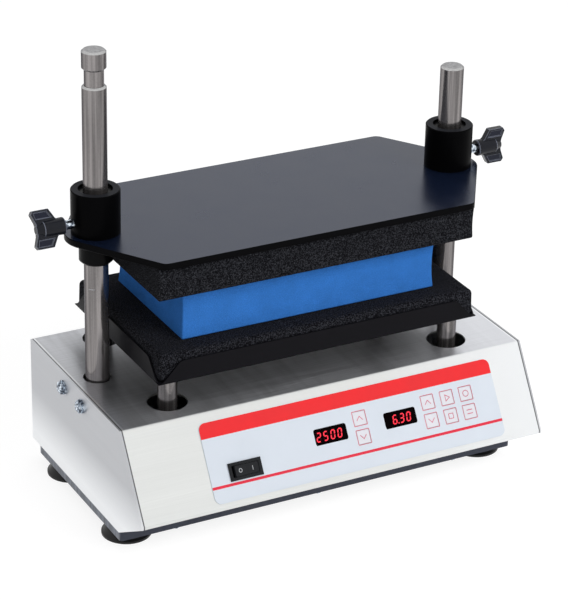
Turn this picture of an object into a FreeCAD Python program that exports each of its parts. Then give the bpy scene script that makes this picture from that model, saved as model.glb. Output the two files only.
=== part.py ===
import FreeCAD, Part
import math
import os

V = FreeCAD.Vector

# Hood, in millimetres: X to the right, Y to the back, Z up from the bench
hood_width = 394.0
hood_depth = 235.0
hood_height = 119.0
hood_top_depth = 191.0
lip_bend_height = 49.0
lip_length = 2.5
sheet = 1.5
sheet_bend = 1.0
seam = 0.3
flange = 12.0
rear_inset = 2.0

# Base plate and feet
foot_height = 10.0
foot_radius = 22.0
foot_top_radius = 15.0
foot_inset_x = 19.0
foot_spacing_y = 118.0
foot_side_taper = 1.5
foot_side_height = 3.3
foot_edge_height = 2.0
foot_screw_radius = 2.5
foot_screw_head_radius = 4.5
foot_screw_head = 2.5
foot_screw_recess = 5.0
foot_screw_end_gap = 1.0
base_thickness = 9.5
base_side_setback = 1.5
base_front_setback = 3.5
base_back_setback = 11.5
base_corner = 3.0

# Posts
post_inset = 24.0
post_setback = 92.5
post_radius = 10.5
left_post_top = 420.0
right_post_top = 352.0
post_head = 17.0
neck_length = 14.0
neck_cut = 2.1
post_chamfer = 1.6
post_hole_margin = 2.2
post_spigot_clearance = 0.05
post_screw_radius = 4.0
post_screw_head_radius = 6.5
post_screw_head = 5.0
post_screw_reach = 16.0

# Blocks that hold the posts
block_wall = 6.5
block_depth = 64.0
block_foot = 14.0
block_head = 20.0
block_web = 34.0
block_top_gap = 3.0
block_bolt_spacing = 39.0
block_bolt_drop = 14.0
block_bolt_radius = 3.0
block_bolt_head_radius = 6.5
block_bolt_flange = 1.4
block_bolt_head = 5.0
block_bolt_flats = 10.0
block_bolt_crown = 0.6
block_bolt_reach = 20.0
bolt_clearance = 0.2

# Presser: plate, pad, collars and sleeves
presser_half_length = 152.5
presser_half_depth = 86.5
presser_end_radius = 27.0
presser_corner = 8.0
presser_thickness = 6.0
presser_pad_sleeve_gap = 5.25
presser_pad_setback = 5.0
presser_pad_thickness = 30.6
collar_radius = 21.2
collar_height = 39.2
collar_edge = 0.8
sleeve_radius = 14.75
sleeve_fit = 0.05
sleeve_post_clearance = 0.08
sleeve_drop = 21.5
sleeve_top_recess = 2.5
sleeve_chamfer = 2.0
collar_screw_radius = 1.5
collar_screw_head_radius = 2.7
collar_screw_head = 2.5
collar_screw_reach = 10.0

# Wing thumbscrews
wing_screw_height = 10.5
wing_screw_radius = 4.0
wing_screw_gap = 0.3
wing_screw_hole_clearance = 0.1
wing_neck = 8.0
wing_hub_radius = 6.5
wing_hub_length = 13.0
wing_length = 28.5
wing_span = 16.5
wing_thickness = 6.0
wing_tip_length = 15.0
wing_edge = 1.2
wing_root = 2.0
wing_shoulder = 3.0
wing_saddle = 5.5
wing_hub_taper = 1.0
wing_barrel_radius = 4.2
wing_rim = 2.2
wing_pocket_depth = 1.2
left_wing_lean = 25.0

# Rack, pads and tray
soft_gap = 0.3
rack_length = 247.4
rack_depth = 130.8
rack_height = 47.4
rack_columns = 5
rack_rows = 3
socket_radius = 14.5
socket_pitch_x = 47.0
socket_pitch_y = 41.0
socket_depth = 40.0
tray_gap = 27.4
tray_post_gap = 6.5
tray_depth = 175.0
tray_wall = 19.8
tray_corner_cut = 4.0
tray_corner_taper = 17.0
tray_wall_corner = 7.0
tray_bend = 2.0
tray_pad_thickness = 25.0
tray_post_radius = 8.5
tray_post_side_gap = 34.7
tray_post_reach_y = 67.5
tray_post_hole_margin = 9.2
tray_screw_radius = 2.5
tray_screw_head_radius = 4.5
tray_screw_head = 2.0
tray_screw_reach = 12.0

# Orbit drive
orbit_radius = 1.8
orbit_plate_margin_x = 11.7
orbit_plate_margin_y = 12.5
orbit_plate_thickness = 8.0
orbit_plate_drop = 25.5
orbit_plate_corner = 14.0
orbit_window_length = 78.0
orbit_window_depth = 40.0
orbit_window_corner = 8.0
orbit_window_x = 58.0
orbit_window_y = 49.0
running_clearance = 0.06
crank_pin_radius = 8.0
crank_bearing_radius = 16.0
crank_hub_radius = 15.0
crank_hub_height = 7.0
crank_gap = 1.0
bearing_gap = 0.5
bearing_seat = 3.0
bearing_shoulder = 2.0
shaft_radius = 7.5
motor_shaft_radius = 4.0
main_bearing_radius = 15.0
main_bearing_height = 9.0
weight_radius = 34.0
weight_thickness = 5.0
weight_lift = 0.5
idler_spacing = 190.0
idler_pin_radius = 4.0
idler_bearing_radius = 9.5
idler_hub_radius = 10.0
idler_foot_radius = 24.0
idler_foot_height = 8.0
idler_foot_taper = 4.0
idler_column_radius = 14.0
pin_cap = 1.5

# Motor and its bracket
bracket_size = 104.0
bracket_thickness = 6.0
bracket_leg_radius = 6.0
bracket_leg_inset = 9.0
bracket_boss_radius = 21.0
motor_radius = 36.0
motor_height = 32.0
motor_tail_radius = 12.0
motor_tail_height = 3.0
motor_rim = 3.0
motor_shaft_depth = 16.0

# Control face, measured across (u) and down the slope (v) from the top bend
overlay_left = -127.5
overlay_right = 160.0
overlay_top = 9.0
overlay_bottom = 79.0
overlay_thickness = 0.8
overlay_corner = 6.0
display_width = 30.6
display_height = 13.6
display_v = 43.2
speed_display_u = -8.1
time_display_u = 61.2
display_sink = 0.3
display_gap = 0.1
key_size = 12.0
key_gap = 0.25
key_flange_margin = 1.25
key_flange_thickness = 1.0
key_travel = 0.4
key_stem_radius = 2.0
key_edge = 0.4
key_upper_v = 35.0
key_lower_v = 51.5
key_speed_u = 22.3
key_time_u = 91.0
key_run_u = 110.7
key_mode_u = 130.0
board_depth = 9.0
board_thickness = 1.6
board_left = -34.0
board_right = 146.0
board_top_v = 22.0
board_bottom_v = 66.0
board_standoff_radius = 2.6
board_standoff_inset = 4.0
key_switch_size = 6.0
key_switch_height = 3.4
key_plunger_length = 0.6
key_plunger_radius = 1.7
key_plunger_clearance = 0.1

# Rocker switch
switch_u = -94.0
switch_v = 54.9
switch_width = 31.0
switch_height = 15.6
switch_flange = 1.4
switch_body_width = 27.2
switch_body_height = 12.0
switch_body_depth = 16.0
switch_wall = 1.0
switch_pocket_depth = 8.0
rocker_end_gap = 0.8
rocker_side_gap = 0.3
rocker_axis_depth = 1.5
rocker_tilt = 8.0
rocker_pin_radius = 1.0
rocker_pin_reach = 0.8
rocker_end_rise = 2.4
rocker_middle_rise = 1.2
rocker_side = 2.8
rocker_keel_half = 4.0
rocker_keel_depth = 4.3

# Rear panel, inlet and fuse
inlet_x = -130.0
inlet_z = 52.0
inlet_width = 50.0
inlet_height = 28.0
inlet_body_width = 28.0
inlet_body_height = 20.0
inlet_body_depth = 20.0
inlet_wall = 1.8
inlet_floor = 6.0
inlet_corner = 4.0
inlet_pin_length = 10.0
inlet_pin_width = 2.0
inlet_pin_height = 4.5
inlet_pin_pitch = 7.0
fuse_x = -85.0
fuse_cap_radius = 8.0
fuse_body_radius = 6.2
fuse_body_length = 34.0
vent_count = 9
vent_pitch = 10.0
vent_width = 4.0
vent_height = 34.0
vent_x = 60.0
vent_z = 58.0
panel_screw_radius = 1.6
panel_screw_head_radius = 3.2
panel_screw_head = 1.6
panel_screw_reach = 6.0

# Power board
power_board_inset = 47.0
power_board_setback = 23.5
power_board_width = 84.0
power_board_depth = 42.0
power_board_lift = 6.0
transformer_size = 26.0
capacitor_radius = 6.0
capacitor_height = 20.0
capacitor_pitch = 14.4
heatsink_length = 24.0
heatsink_fins = 5
heatsink_fin = 1.6
heatsink_wall = 3.2
heatsink_depth = 8.0
heatsink_height = 16.0

# Places worked out from the sizes above
half_width = hood_width / 2
back_y = hood_depth / 2
front_y = -hood_depth / 2
top_front_y = back_y - hood_top_depth
lip_bottom = lip_bend_height - lip_length
base_bottom = foot_height
base_top = base_bottom + base_thickness
base_front_y = top_front_y + base_front_setback
base_back_y = back_y - base_back_setback
base_middle_y = (base_front_y + base_back_y) / 2
base_half = half_width - base_side_setback
post_x = half_width - post_inset
post_y = back_y - post_setback
post_hole_radius = post_radius + post_hole_margin
neck_radius = post_radius - neck_cut
panel_inner_x = half_width - sheet
cover_half = panel_inner_x - seam
under_top = hood_height - sheet
block_inner_x = -post_x + post_radius + block_wall
rear_y = back_y - rear_inset
tray_bottom = hood_height + tray_gap
tray_floor = tray_bottom + sheet
tray_pad_top = tray_floor + tray_pad_thickness
rack_bottom = tray_pad_top + soft_gap
rack_top = rack_bottom + rack_height
tray_length = 2 * (post_x - post_radius - tray_post_gap)
tray_post_x = post_x - tray_post_side_gap
tray_post_hole_radius = tray_post_radius + tray_post_hole_margin
presser_pad_bottom = rack_top + soft_gap
plate_bottom = presser_pad_bottom + presser_pad_thickness
plate_top = plate_bottom + presser_thickness
presser_pad_half_length = post_x - sleeve_radius - presser_pad_sleeve_gap
presser_pad_half_depth = presser_half_depth - presser_pad_setback
collar_top = plate_top + collar_height
collar_screw_circle = (collar_radius + sleeve_radius) / 2
wing_z = plate_top + wing_screw_height
neck_top = left_post_top - post_head
neck_bottom = neck_top - neck_length
orbit_top = under_top - orbit_plate_drop
orbit_bottom = orbit_top - orbit_plate_thickness
crank_hub_top = orbit_bottom - crank_gap
crank_hub_bottom = crank_hub_top - crank_hub_height
main_bearing_top = crank_hub_bottom - bearing_gap
main_bearing_bottom = main_bearing_top - main_bearing_height
bracket_bottom = main_bearing_bottom - bearing_seat
bracket_top = bracket_bottom + bracket_thickness
idler_x = idler_spacing / 2
key_back = -sheet - display_gap
key_stem_bottom = -board_depth + key_switch_height + key_plunger_length + key_plunger_clearance + key_travel
rocker_half_length = switch_body_width / 2 - switch_wall - rocker_end_gap
rocker_half_height = switch_body_height / 2 - switch_wall - rocker_side_gap
inlet_floor_y = rear_y - inlet_body_depth + inlet_floor
power_board_left = -half_width + power_board_inset
power_board_right = power_board_left + power_board_width
power_board_front = top_front_y + power_board_setback
power_board_back = power_board_front + power_board_depth
slope = math.degrees(math.atan2(hood_height - lip_bend_height, top_front_y - front_y))
face_frame = FreeCAD.Placement(V(0, top_front_y, hood_height), FreeCAD.Rotation(V(1, 0, 0), slope))

nodes = {}


# Basic solids

def block(x0, x1, y0, y1, z0, z1):
    return Part.makeBox(x1 - x0, y1 - y0, z1 - z0, V(x0, y0, z0))


def rod(radius, z0, z1, x=0.0, y=0.0):
    return Part.makeCylinder(radius, z1 - z0, V(x, y, z0))


def rod_x(radius, x0, x1, y, z):
    return Part.makeCylinder(radius, x1 - x0, V(x0, y, z), V(1, 0, 0))


def rod_y(radius, y0, y1, x, z):
    return Part.makeCylinder(radius, y1 - y0, V(x, y0, z), V(0, 1, 0))


def polygon(points):
    return Part.Face(Part.makePolygon(points + [points[0]]))


def side_prism(outline, x0, x1):
    face = polygon([V(x0, y, z) for y, z in outline])
    return face.extrude(V(x1 - x0, 0, 0))


def turned(outline, x, y):
    face = polygon([V(x + r, y, z) for r, z in outline])
    return face.revolve(V(x, y, 0), V(0, 0, 1), 360)


def upright_edges(shape):
    return [e for e in shape.Edges if abs(e.tangentAt(e.FirstParameter).z) > 0.999]


def rounded_block(x0, x1, y0, y1, z0, z1, radius):
    solid = block(x0, x1, y0, y1, z0, z1)
    return solid.makeFillet(radius, upright_edges(solid))


def mirrored_x(shape):
    return shape.mirror(V(0, 0, 0), V(1, 0, 0))


def group(solids):
    return Part.makeCompound(solids)


# Shapes drawn on the slanted control face

def on_face(shape):
    placed = shape.copy()
    placed.Placement = face_frame.multiply(placed.Placement)
    return placed


def face_block(u, v, width, height, w0, w1):
    return block(u - width / 2, u + width / 2, -v - height / 2, -v + height / 2, w0, w1)


def key_places():
    columns = [("speed", key_speed_u), ("time", key_time_u), ("run", key_run_u), ("mode", key_mode_u)]
    rows = [("up", key_upper_v), ("down", key_lower_v)]
    return [("key_%s_%s" % (name, row), u, v) for name, u in columns for row, v in rows]


def panel_cutouts(depth0, depth1):
    key_hole = key_size + 2 * key_gap
    tools = [face_block(u, v, key_hole, key_hole, depth0, depth1) for name, u, v in key_places()]
    window_width = display_width + 2 * display_gap
    window_height = display_height + 2 * display_gap
    for u in (speed_display_u, time_display_u):
        tools.append(face_block(u, display_v, window_width, window_height, depth0, depth1))
    tools.append(face_block(switch_u, switch_v, switch_body_width, switch_body_height, depth0, depth1))
    return tools


# Sheet metal

def line_normal(start, end):
    along = V(end[0] - start[0], end[1] - start[1], 0).normalize()
    return V(-along.y, along.x, 0)


def offset_line(points, distance):
    normals = [line_normal(a, b) for a, b in zip(points, points[1:])]
    before = [normals[0]] + normals
    after = normals + [normals[-1]]
    moved = []
    for (y, z), n1, n2 in zip(points, before, after):
        mitre = (n1 + n2) * (distance / (1 + n1.dot(n2)))
        moved.append((y + mitre.x, z + mitre.y))
    return moved


def bent_sheet(points, x0, x1):
    inner = offset_line(points, sheet)
    solid = side_prism(points + inner[::-1], x0, x1)
    solid = solid.makeFillet(sheet + sheet_bend, level_edges_at(solid, points[1]))
    return solid.makeFillet(sheet_bend, level_edges_at(solid, inner[1]))


def level_edges_at(solid, place):
    y, z = place
    edges = [e for e in solid.Edges if abs(e.tangentAt(e.FirstParameter).x) > 0.999]
    return [e for e in edges if math.hypot(e.CenterOfMass.y - y, e.CenterOfMass.z - z) < 0.01]


def cover_line():
    return [
        (back_y, hood_height),
        (top_front_y, hood_height),
        (front_y, lip_bend_height),
        (front_y, lip_bottom),
        (base_front_y, base_top),
        (base_front_y + flange, base_top),
    ]


def tray_post_places():
    ys = (post_y - tray_post_reach_y, post_y + tray_post_reach_y)
    return [(x, y) for x in (-tray_post_x, tray_post_x) for y in ys]


def hood_cover():
    cover = bent_sheet(cover_line(), -cover_half, cover_half)
    low = under_top - sheet
    high = hood_height + sheet
    tools = [rod(tray_post_hole_radius, low, high, x, y) for x, y in tray_post_places()]
    tools += [rod(post_hole_radius, low, high, x, post_y) for x in (-post_x, post_x)]
    tools += [on_face(tool) for tool in panel_cutouts(-2 * sheet, sheet)]
    return cover.cut(tools)


def side_outline():
    return [
        (back_y, base_top),
        (back_y, hood_height),
        (top_front_y, hood_height),
        (front_y, lip_bend_height),
        (front_y, lip_bottom),
        (base_front_y, base_top),
    ]


def side_bolt_places():
    z = hood_height - block_bolt_drop
    return [(post_y - block_bolt_spacing / 2, z), (post_y + block_bolt_spacing / 2, z)]


def side_panel():
    panel = side_prism(side_outline(), -half_width, -panel_inner_x)
    x0 = -panel_inner_x
    x1 = -panel_inner_x + flange
    foot_y0 = base_front_y + flange + seam
    foot_y1 = post_y - block_depth / 2 - seam
    foot = block(x0, x1, foot_y0, foot_y1, base_top, base_top + sheet)
    rear_y0 = post_y + block_depth / 2 + seam
    rear_foot = block(x0, x1, rear_y0, base_back_y, base_top, base_top + sheet)
    top_y1 = rear_y - sheet - flange - seam
    top = block(x0, x1, foot_y0, top_y1, under_top - sheet, under_top)
    corner = block(x0, x1, rear_y - 2 * sheet, rear_y - sheet, base_top + flange, under_top - flange)
    panel = panel.fuse([foot, rear_foot, top, corner]).removeSplitter()
    hole = block_bolt_radius + bolt_clearance
    tools = [rod_x(hole, -half_width - sheet, -panel_inner_x + sheet, y, z) for y, z in side_bolt_places()]
    clear_post = rod(post_hole_radius, under_top - 2 * sheet, hood_height, -post_x, post_y)
    block_room = block(-panel_inner_x, block_inner_x + seam, post_y - block_depth / 2 - seam,
                       post_y + block_depth / 2 + seam, base_top, under_top - block_top_gap + seam)
    return panel.cut(tools + [clear_post, block_room])


def rear_screw_places():
    low = base_top + flange / 2
    high = under_top - flange / 2
    edge = cover_half - flange / 2
    return [(x, z) for x in (-edge, 0.0, edge) for z in (low, high)]


def rear_panel():
    inner_y = rear_y - sheet
    flange_y = inner_y - flange
    panel = block(-cover_half, cover_half, inner_y, rear_y, base_top, under_top)
    top = block(-cover_half, cover_half, flange_y, inner_y, under_top - sheet, under_top)
    foot = block(-cover_half, cover_half, flange_y, inner_y, base_top, base_top + sheet)
    room_x = -panel_inner_x + flange + seam
    foot_room = block(-panel_inner_x, room_x, flange_y - sheet, inner_y, base_top, base_top + sheet)
    foot = foot.cut([foot_room, mirrored_x(foot_room)])
    panel = panel.fuse([top, foot]).removeSplitter()
    y0 = rear_y - 2 * sheet
    y1 = rear_y + sheet
    half_w = inlet_body_width / 2
    half_h = inlet_body_height / 2
    tools = [block(inlet_x - half_w, inlet_x + half_w, y0, y1, inlet_z - half_h, inlet_z + half_h)]
    tools.append(rod_y(fuse_body_radius, y0, y1, fuse_x, inlet_z))
    for i in range(vent_count):
        x = vent_x + (i - (vent_count - 1) / 2) * vent_pitch
        tools.append(block(x - vent_width / 2, x + vent_width / 2, y0, y1,
                           vent_z - vent_height / 2, vent_z + vent_height / 2))
    tools += [rod_y(panel_screw_radius, y0, y1, x, z) for x, z in rear_screw_places()]
    tools += [rod(tray_post_hole_radius, under_top - sheet, under_top, x, y) for x, y in tray_post_places()]
    return panel.cut(tools)


def panel_screws():
    screws = []
    for x, z in rear_screw_places():
        head = rod_y(panel_screw_head_radius, rear_y, rear_y + panel_screw_head, x, z)
        shank = rod_y(panel_screw_radius, rear_y - panel_screw_reach, rear_y, x, z)
        screws.append(head.fuse(shank).removeSplitter())
    return group(screws)


# Base, feet and posts

def foot_places():
    x = base_half - foot_inset_x
    ys = (base_middle_y - foot_spacing_y / 2, base_middle_y + foot_spacing_y / 2)
    return [(sx * x, y) for sx in (-1, 1) for y in ys]


def base_plate():
    plate = rounded_block(-base_half, base_half, base_front_y, base_back_y,
                          base_bottom, base_top, base_corner)
    tools = [rod(foot_screw_radius, base_bottom, base_top, x, y) for x, y in foot_places()]
    for x in (-post_x, post_x):
        tools.append(rod(post_screw_radius, base_bottom, base_top, x, post_y))
        tools.append(rod(post_screw_head_radius, base_bottom, base_bottom + post_screw_head, x, post_y))
    return plate.cut(tools)


def rubber_feet():
    feet = []
    for x, y in foot_places():
        outline = [
            (foot_screw_radius, foot_height),
            (foot_top_radius, foot_height),
            (foot_radius - foot_side_taper, foot_side_height),
            (foot_radius, foot_edge_height),
            (foot_radius, 0.0),
            (foot_screw_head_radius, 0.0),
            (foot_screw_head_radius, foot_screw_recess),
            (foot_screw_radius, foot_screw_recess),
        ]
        feet.append(turned(outline, x, y))
    return group(feet)


def base_screws():
    screws = []
    head_bottom = foot_screw_recess - foot_screw_head
    for x, y in foot_places():
        head = rod(foot_screw_head_radius - bolt_clearance, head_bottom, foot_screw_recess, x, y)
        shank = rod(foot_screw_radius, foot_screw_recess, base_top - foot_screw_end_gap, x, y)
        screws.append(head.fuse(shank).removeSplitter())
    for x in (-post_x, post_x):
        head_top = base_bottom + post_screw_head
        head = rod(post_screw_head_radius - bolt_clearance, base_bottom, head_top, x, post_y)
        shank = rod(post_screw_radius, head_top, base_top + post_screw_reach, x, post_y)
        screws.append(head.fuse(shank).removeSplitter())
    return group(screws)


def post_outline(top):
    hole = post_screw_radius
    depth = base_top + post_screw_reach
    return [
        (0.0, depth),
        (hole, depth),
        (hole, base_top),
        (post_radius, base_top),
        (post_radius, top - post_chamfer),
        (post_radius - post_chamfer, top),
        (0.0, top),
    ]


def left_post():
    outline = post_outline(left_post_top)
    neck = [
        (post_radius, neck_bottom - post_chamfer),
        (post_radius - post_chamfer, neck_bottom),
        (neck_radius, neck_bottom),
        (neck_radius, neck_top),
        (post_radius - post_chamfer, neck_top),
        (post_radius, neck_top + post_chamfer),
    ]
    return turned(outline[:4] + neck + outline[4:], -post_x, post_y)


def right_post():
    return turned(post_outline(right_post_top), post_x, post_y)


def post_block():
    top = under_top - block_top_gap
    y0 = post_y - block_depth / 2
    y1 = post_y + block_depth / 2
    web0 = post_y - block_web / 2
    web1 = post_y + block_web / 2
    outline = [
        (y0, base_top),
        (y1, base_top),
        (y1, base_top + block_foot),
        (web1, base_top + block_foot),
        (web1, top - block_head),
        (y1, top - block_head),
        (y1, top),
        (y0, top),
        (y0, top - block_head),
        (web0, top - block_head),
        (web0, base_top + block_foot),
        (y0, base_top + block_foot),
    ]
    solid = side_prism(outline, -panel_inner_x, block_inner_x)
    bore = rod(post_radius + post_spigot_clearance, base_top, top, -post_x, post_y)
    reach = -panel_inner_x + block_bolt_reach
    holes = [rod_x(block_bolt_radius, -panel_inner_x, reach, y, z) for y, z in side_bolt_places()]
    return solid.cut([bore] + holes)


def hex_prism(flats, x0, x1, y, z):
    radius = flats / math.sqrt(3)
    corners = [(y + radius * math.cos(math.radians(a)), z + radius * math.sin(math.radians(a)))
               for a in range(0, 360, 60)]
    return side_prism(corners, x0, x1)


def post_block_bolts():
    bolts = []
    face = -half_width
    for y, z in side_bolt_places():
        washer = rod_x(block_bolt_head_radius, face - block_bolt_flange, face, y, z)
        head = hex_prism(block_bolt_flats, face - block_bolt_head, face - block_bolt_flange, y, z)
        dome_x = face - block_bolt_head - block_bolt_crown + block_bolt_flats
        dome = Part.makeSphere(block_bolt_flats, V(dome_x, y, z))
        head = head.common(dome)
        shank = rod_x(block_bolt_radius, face, -panel_inner_x + block_bolt_reach, y, z)
        bolt = washer.fuse([head, shank]).removeSplitter()
        bolts.append(bolt)
        bolts.append(mirrored_x(bolt))
    return group(bolts)


# Presser

def tangent_point(corner, centre, radius, turn):
    away = (corner - centre)
    angle = math.acos(radius / away.Length) * turn
    x = away.x * math.cos(angle) - away.y * math.sin(angle)
    y = away.x * math.sin(angle) + away.y * math.cos(angle)
    return centre + V(x, y, 0).normalize() * radius


def presser_plate():
    z = plate_bottom
    right = V(post_x, post_y, z)
    left = V(-post_x, post_y, z)
    y0 = post_y - presser_half_depth
    y1 = post_y + presser_half_depth
    front_right = V(presser_half_length, y0, z)
    back_right = V(presser_half_length, y1, z)
    back_left = V(-presser_half_length, y1, z)
    front_left = V(-presser_half_length, y0, z)
    r1 = tangent_point(front_right, right, presser_end_radius, 1)
    r2 = tangent_point(back_right, right, presser_end_radius, -1)
    l1 = tangent_point(back_left, left, presser_end_radius, 1)
    l2 = tangent_point(front_left, left, presser_end_radius, -1)
    reach = V(presser_end_radius, 0, 0)
    edges = [
        Part.LineSegment(front_left, front_right).toShape(),
        Part.LineSegment(front_right, r1).toShape(),
        Part.Arc(r1, right + reach, r2).toShape(),
        Part.LineSegment(r2, back_right).toShape(),
        Part.LineSegment(back_right, back_left).toShape(),
        Part.LineSegment(back_left, l1).toShape(),
        Part.Arc(l1, left - reach, l2).toShape(),
        Part.LineSegment(l2, front_left).toShape(),
    ]
    plate = Part.Face(Part.Wire(edges)).extrude(V(0, 0, presser_thickness))
    corners = [e for e in upright_edges(plate) if abs(abs(e.CenterOfMass.x) - presser_half_length) < 0.01]
    plate = plate.makeFillet(presser_corner, corners)
    tools = [rod(sleeve_radius + sleeve_fit, z, plate_top, x, post_y) for x in (-post_x, post_x)]
    tools += [rod(collar_screw_radius, z, plate_top, x, y) for x, y in collar_screw_places()]
    return plate.cut(tools)


def collar_screw_places():
    places = []
    for side in (-1, 1):
        for angle in (90, 210, 330):
            x = side * post_x + collar_screw_circle * math.cos(math.radians(angle))
            places.append((x, post_y + collar_screw_circle * math.sin(math.radians(angle))))
    return places


def collar_screws():
    screws = []
    for x, y in collar_screw_places():
        head = rod(collar_screw_head_radius, plate_bottom - collar_screw_head, plate_bottom, x, y)
        shank = rod(collar_screw_radius, plate_bottom, plate_top + collar_screw_reach, x, y)
        screws.append(head.fuse(shank).removeSplitter())
    return group(screws)


def presser_pad():
    x = presser_pad_half_length
    y0 = post_y - presser_pad_half_depth
    y1 = post_y + presser_pad_half_depth
    return block(-x, x, y0, y1, presser_pad_bottom, plate_bottom)


def left_screw_hole():
    radius = wing_screw_radius + wing_screw_hole_clearance
    return rod_x(radius, -post_x - 2 * collar_radius, -post_x, post_y, wing_z)


def left_collar():
    bore = sleeve_radius + sleeve_fit
    outline = [
        (bore, plate_top),
        (collar_radius, plate_top),
        (collar_radius, collar_top - collar_edge),
        (collar_radius - collar_edge, collar_top),
        (bore, collar_top),
    ]
    collar = turned(outline, -post_x, post_y)
    holes = [rod(collar_screw_radius, plate_top, plate_top + collar_screw_reach, x, y)
             for x, y in collar_screw_places() if x < 0]
    return collar.cut([left_screw_hole()] + holes)


def left_sleeve():
    bore = post_radius + sleeve_post_clearance
    bottom = plate_bottom - sleeve_drop
    outline = [
        (bore, bottom),
        (sleeve_radius - sleeve_chamfer, bottom),
        (sleeve_radius, bottom + sleeve_chamfer),
        (sleeve_radius, collar_top - sleeve_top_recess),
        (bore, collar_top - sleeve_top_recess),
    ]
    return turned(outline, -post_x, post_y).cut(left_screw_hole())


def knob_inner_x():
    return -post_x - collar_radius - wing_neck


def left_clamp_screw():
    tip = -post_x - post_radius - wing_screw_gap
    return rod_x(wing_screw_radius, knob_inner_x() - wing_hub_length / 2, tip, post_y, wing_z)


def wing_pockets(x0):
    low = wing_barrel_radius + wing_rim
    high = wing_span - wing_rim
    outline = [
        (x0 + wing_shoulder + wing_rim, low),
        (x0 + wing_tip_length + wing_rim / 2, low),
        (x0 + wing_tip_length - wing_rim, high),
        (x0 + wing_rim, high),
    ]
    pockets = []
    for sign in (-1, 1):
        face = polygon([V(x, 0, wing_z + sign * rise) for x, rise in outline])
        for y in (post_y - wing_thickness / 2, post_y + wing_thickness / 2 - wing_pocket_depth):
            pocket = face.extrude(V(0, wing_pocket_depth, 0))
            pocket.translate(V(0, y, 0))
            pockets.append(pocket)
    return pockets


def upright_wing_knob():
    x1 = knob_inner_x()
    x0 = x1 - wing_length
    half = [
        (x1 - wing_root, wing_hub_radius - wing_root / 2),
        (x1 - wing_hub_length + wing_shoulder, wing_hub_radius + wing_root),
        (x0 + wing_tip_length, wing_span),
        (x0 + wing_root, wing_span),
        (x0, wing_span - wing_shoulder),
        (x0 + wing_shoulder, wing_saddle),
    ]
    upper = [V(x, 0, wing_z + rise) for x, rise in half]
    lower = [V(x, 0, wing_z - rise) for x, rise in reversed(half)]
    wings = polygon(upper + lower).extrude(V(0, wing_thickness, 0))
    wings.translate(V(0, post_y - wing_thickness / 2, 0))
    rims = [e for e in wings.Edges if abs(e.tangentAt(e.FirstParameter).y) < 0.01]
    wings = wings.makeFillet(wing_edge, rims).cut(wing_pockets(x0))
    hub_end = wing_hub_radius - wing_hub_taper
    hub = Part.makeCone(wing_hub_radius, hub_end, wing_hub_length, V(x1, post_y, wing_z), V(-1, 0, 0))
    barrel = rod_x(wing_barrel_radius, x0 + wing_shoulder, x1 - wing_hub_length, post_y, wing_z)
    return wings.fuse([hub, barrel]).removeSplitter().cut(left_clamp_screw())


def left_wing_knob():
    knob = upright_wing_knob()
    knob.rotate(V(0, post_y, wing_z), V(-1, 0, 0), left_wing_lean)
    return knob


# Rack, pads and tray

def socket_places():
    places = []
    for column in range(rack_columns):
        for row in range(rack_rows):
            x = (column - (rack_columns - 1) / 2) * socket_pitch_x
            y = post_y + (row - (rack_rows - 1) / 2) * socket_pitch_y
            places.append((x, y))
    return places


def tube_rack():
    y0 = post_y - rack_depth / 2
    rack = block(-rack_length / 2, rack_length / 2, y0, y0 + rack_depth, rack_bottom, rack_top)
    return rack.cut([rod(socket_radius, rack_top - socket_depth, rack_top, x, y) for x, y in socket_places()])


def corner_gap(length, height):
    half = length / 2 - tray_corner_cut
    top = half - tray_corner_taper
    return [(half, 0.0), (length, 0.0), (length, height + sheet), (top, height + sheet), (top, height)]


def tray():
    x = tray_length / 2
    y = tray_depth / 2
    top = tray_bottom + tray_wall
    shell = block(-x, x, post_y - y, post_y + y, tray_bottom, top)
    bends = [e for e in shell.Edges if abs(e.CenterOfMass.z - tray_bottom) < 0.01]
    shell = shell.makeFillet(tray_bend, bends)
    cavity = block(-x + sheet, x - sheet, post_y - y + sheet, post_y + y - sheet, tray_floor, top)
    shell = shell.cut(cavity)
    rise = tray_wall - sheet
    reach = 2 * sheet
    gaps = []
    for sign in (-1, 1):
        face = polygon([V(sign * u, post_y - y, tray_floor + w) for u, w in corner_gap(tray_length, rise)])
        gaps.append(face.extrude(V(0, reach, 0)))
        face = polygon([V(sign * u, post_y + y, tray_floor + w) for u, w in corner_gap(tray_length, rise)])
        gaps.append(face.extrude(V(0, -reach, 0)))
        face = polygon([V(-x, post_y + sign * u, tray_floor + w) for u, w in corner_gap(tray_depth, rise)])
        gaps.append(face.extrude(V(reach, 0, 0)))
        face = polygon([V(x, post_y + sign * u, tray_floor + w) for u, w in corner_gap(tray_depth, rise)])
        gaps.append(face.extrude(V(-reach, 0, 0)))
    shell = shell.cut(gaps)
    crown = [e for e in shell.Edges if e.Length < sheet + 0.01 and abs(e.CenterOfMass.z - top) < 0.01]
    shell = shell.makeFillet(tray_wall_corner, crown)
    holes = [rod(tray_screw_radius, tray_bottom, tray_floor, px, py) for px, py in tray_post_places()]
    return shell.cut(holes)


def tray_pad():
    x = tray_length / 2 - sheet - soft_gap
    y0 = post_y - tray_depth / 2 + sheet + soft_gap
    y1 = post_y + tray_depth / 2 - sheet - soft_gap
    pad = block(-x, x, y0, y1, tray_floor, tray_pad_top)
    room_radius = tray_screw_head_radius + soft_gap
    room_top = tray_floor + tray_screw_head + soft_gap
    return pad.cut([rod(room_radius, tray_floor, room_top, px, py) for px, py in tray_post_places()])


def tray_posts():
    posts = []
    for x, y in tray_post_places():
        post = rod(tray_post_radius, orbit_top, tray_bottom, x, y)
        hole = rod(tray_screw_radius, tray_bottom - tray_screw_reach, tray_bottom, x, y)
        low_hole = rod(tray_screw_radius, orbit_top, orbit_top + tray_screw_reach, x, y)
        posts.append(post.cut([hole, low_hole]))
    return group(posts)


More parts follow.
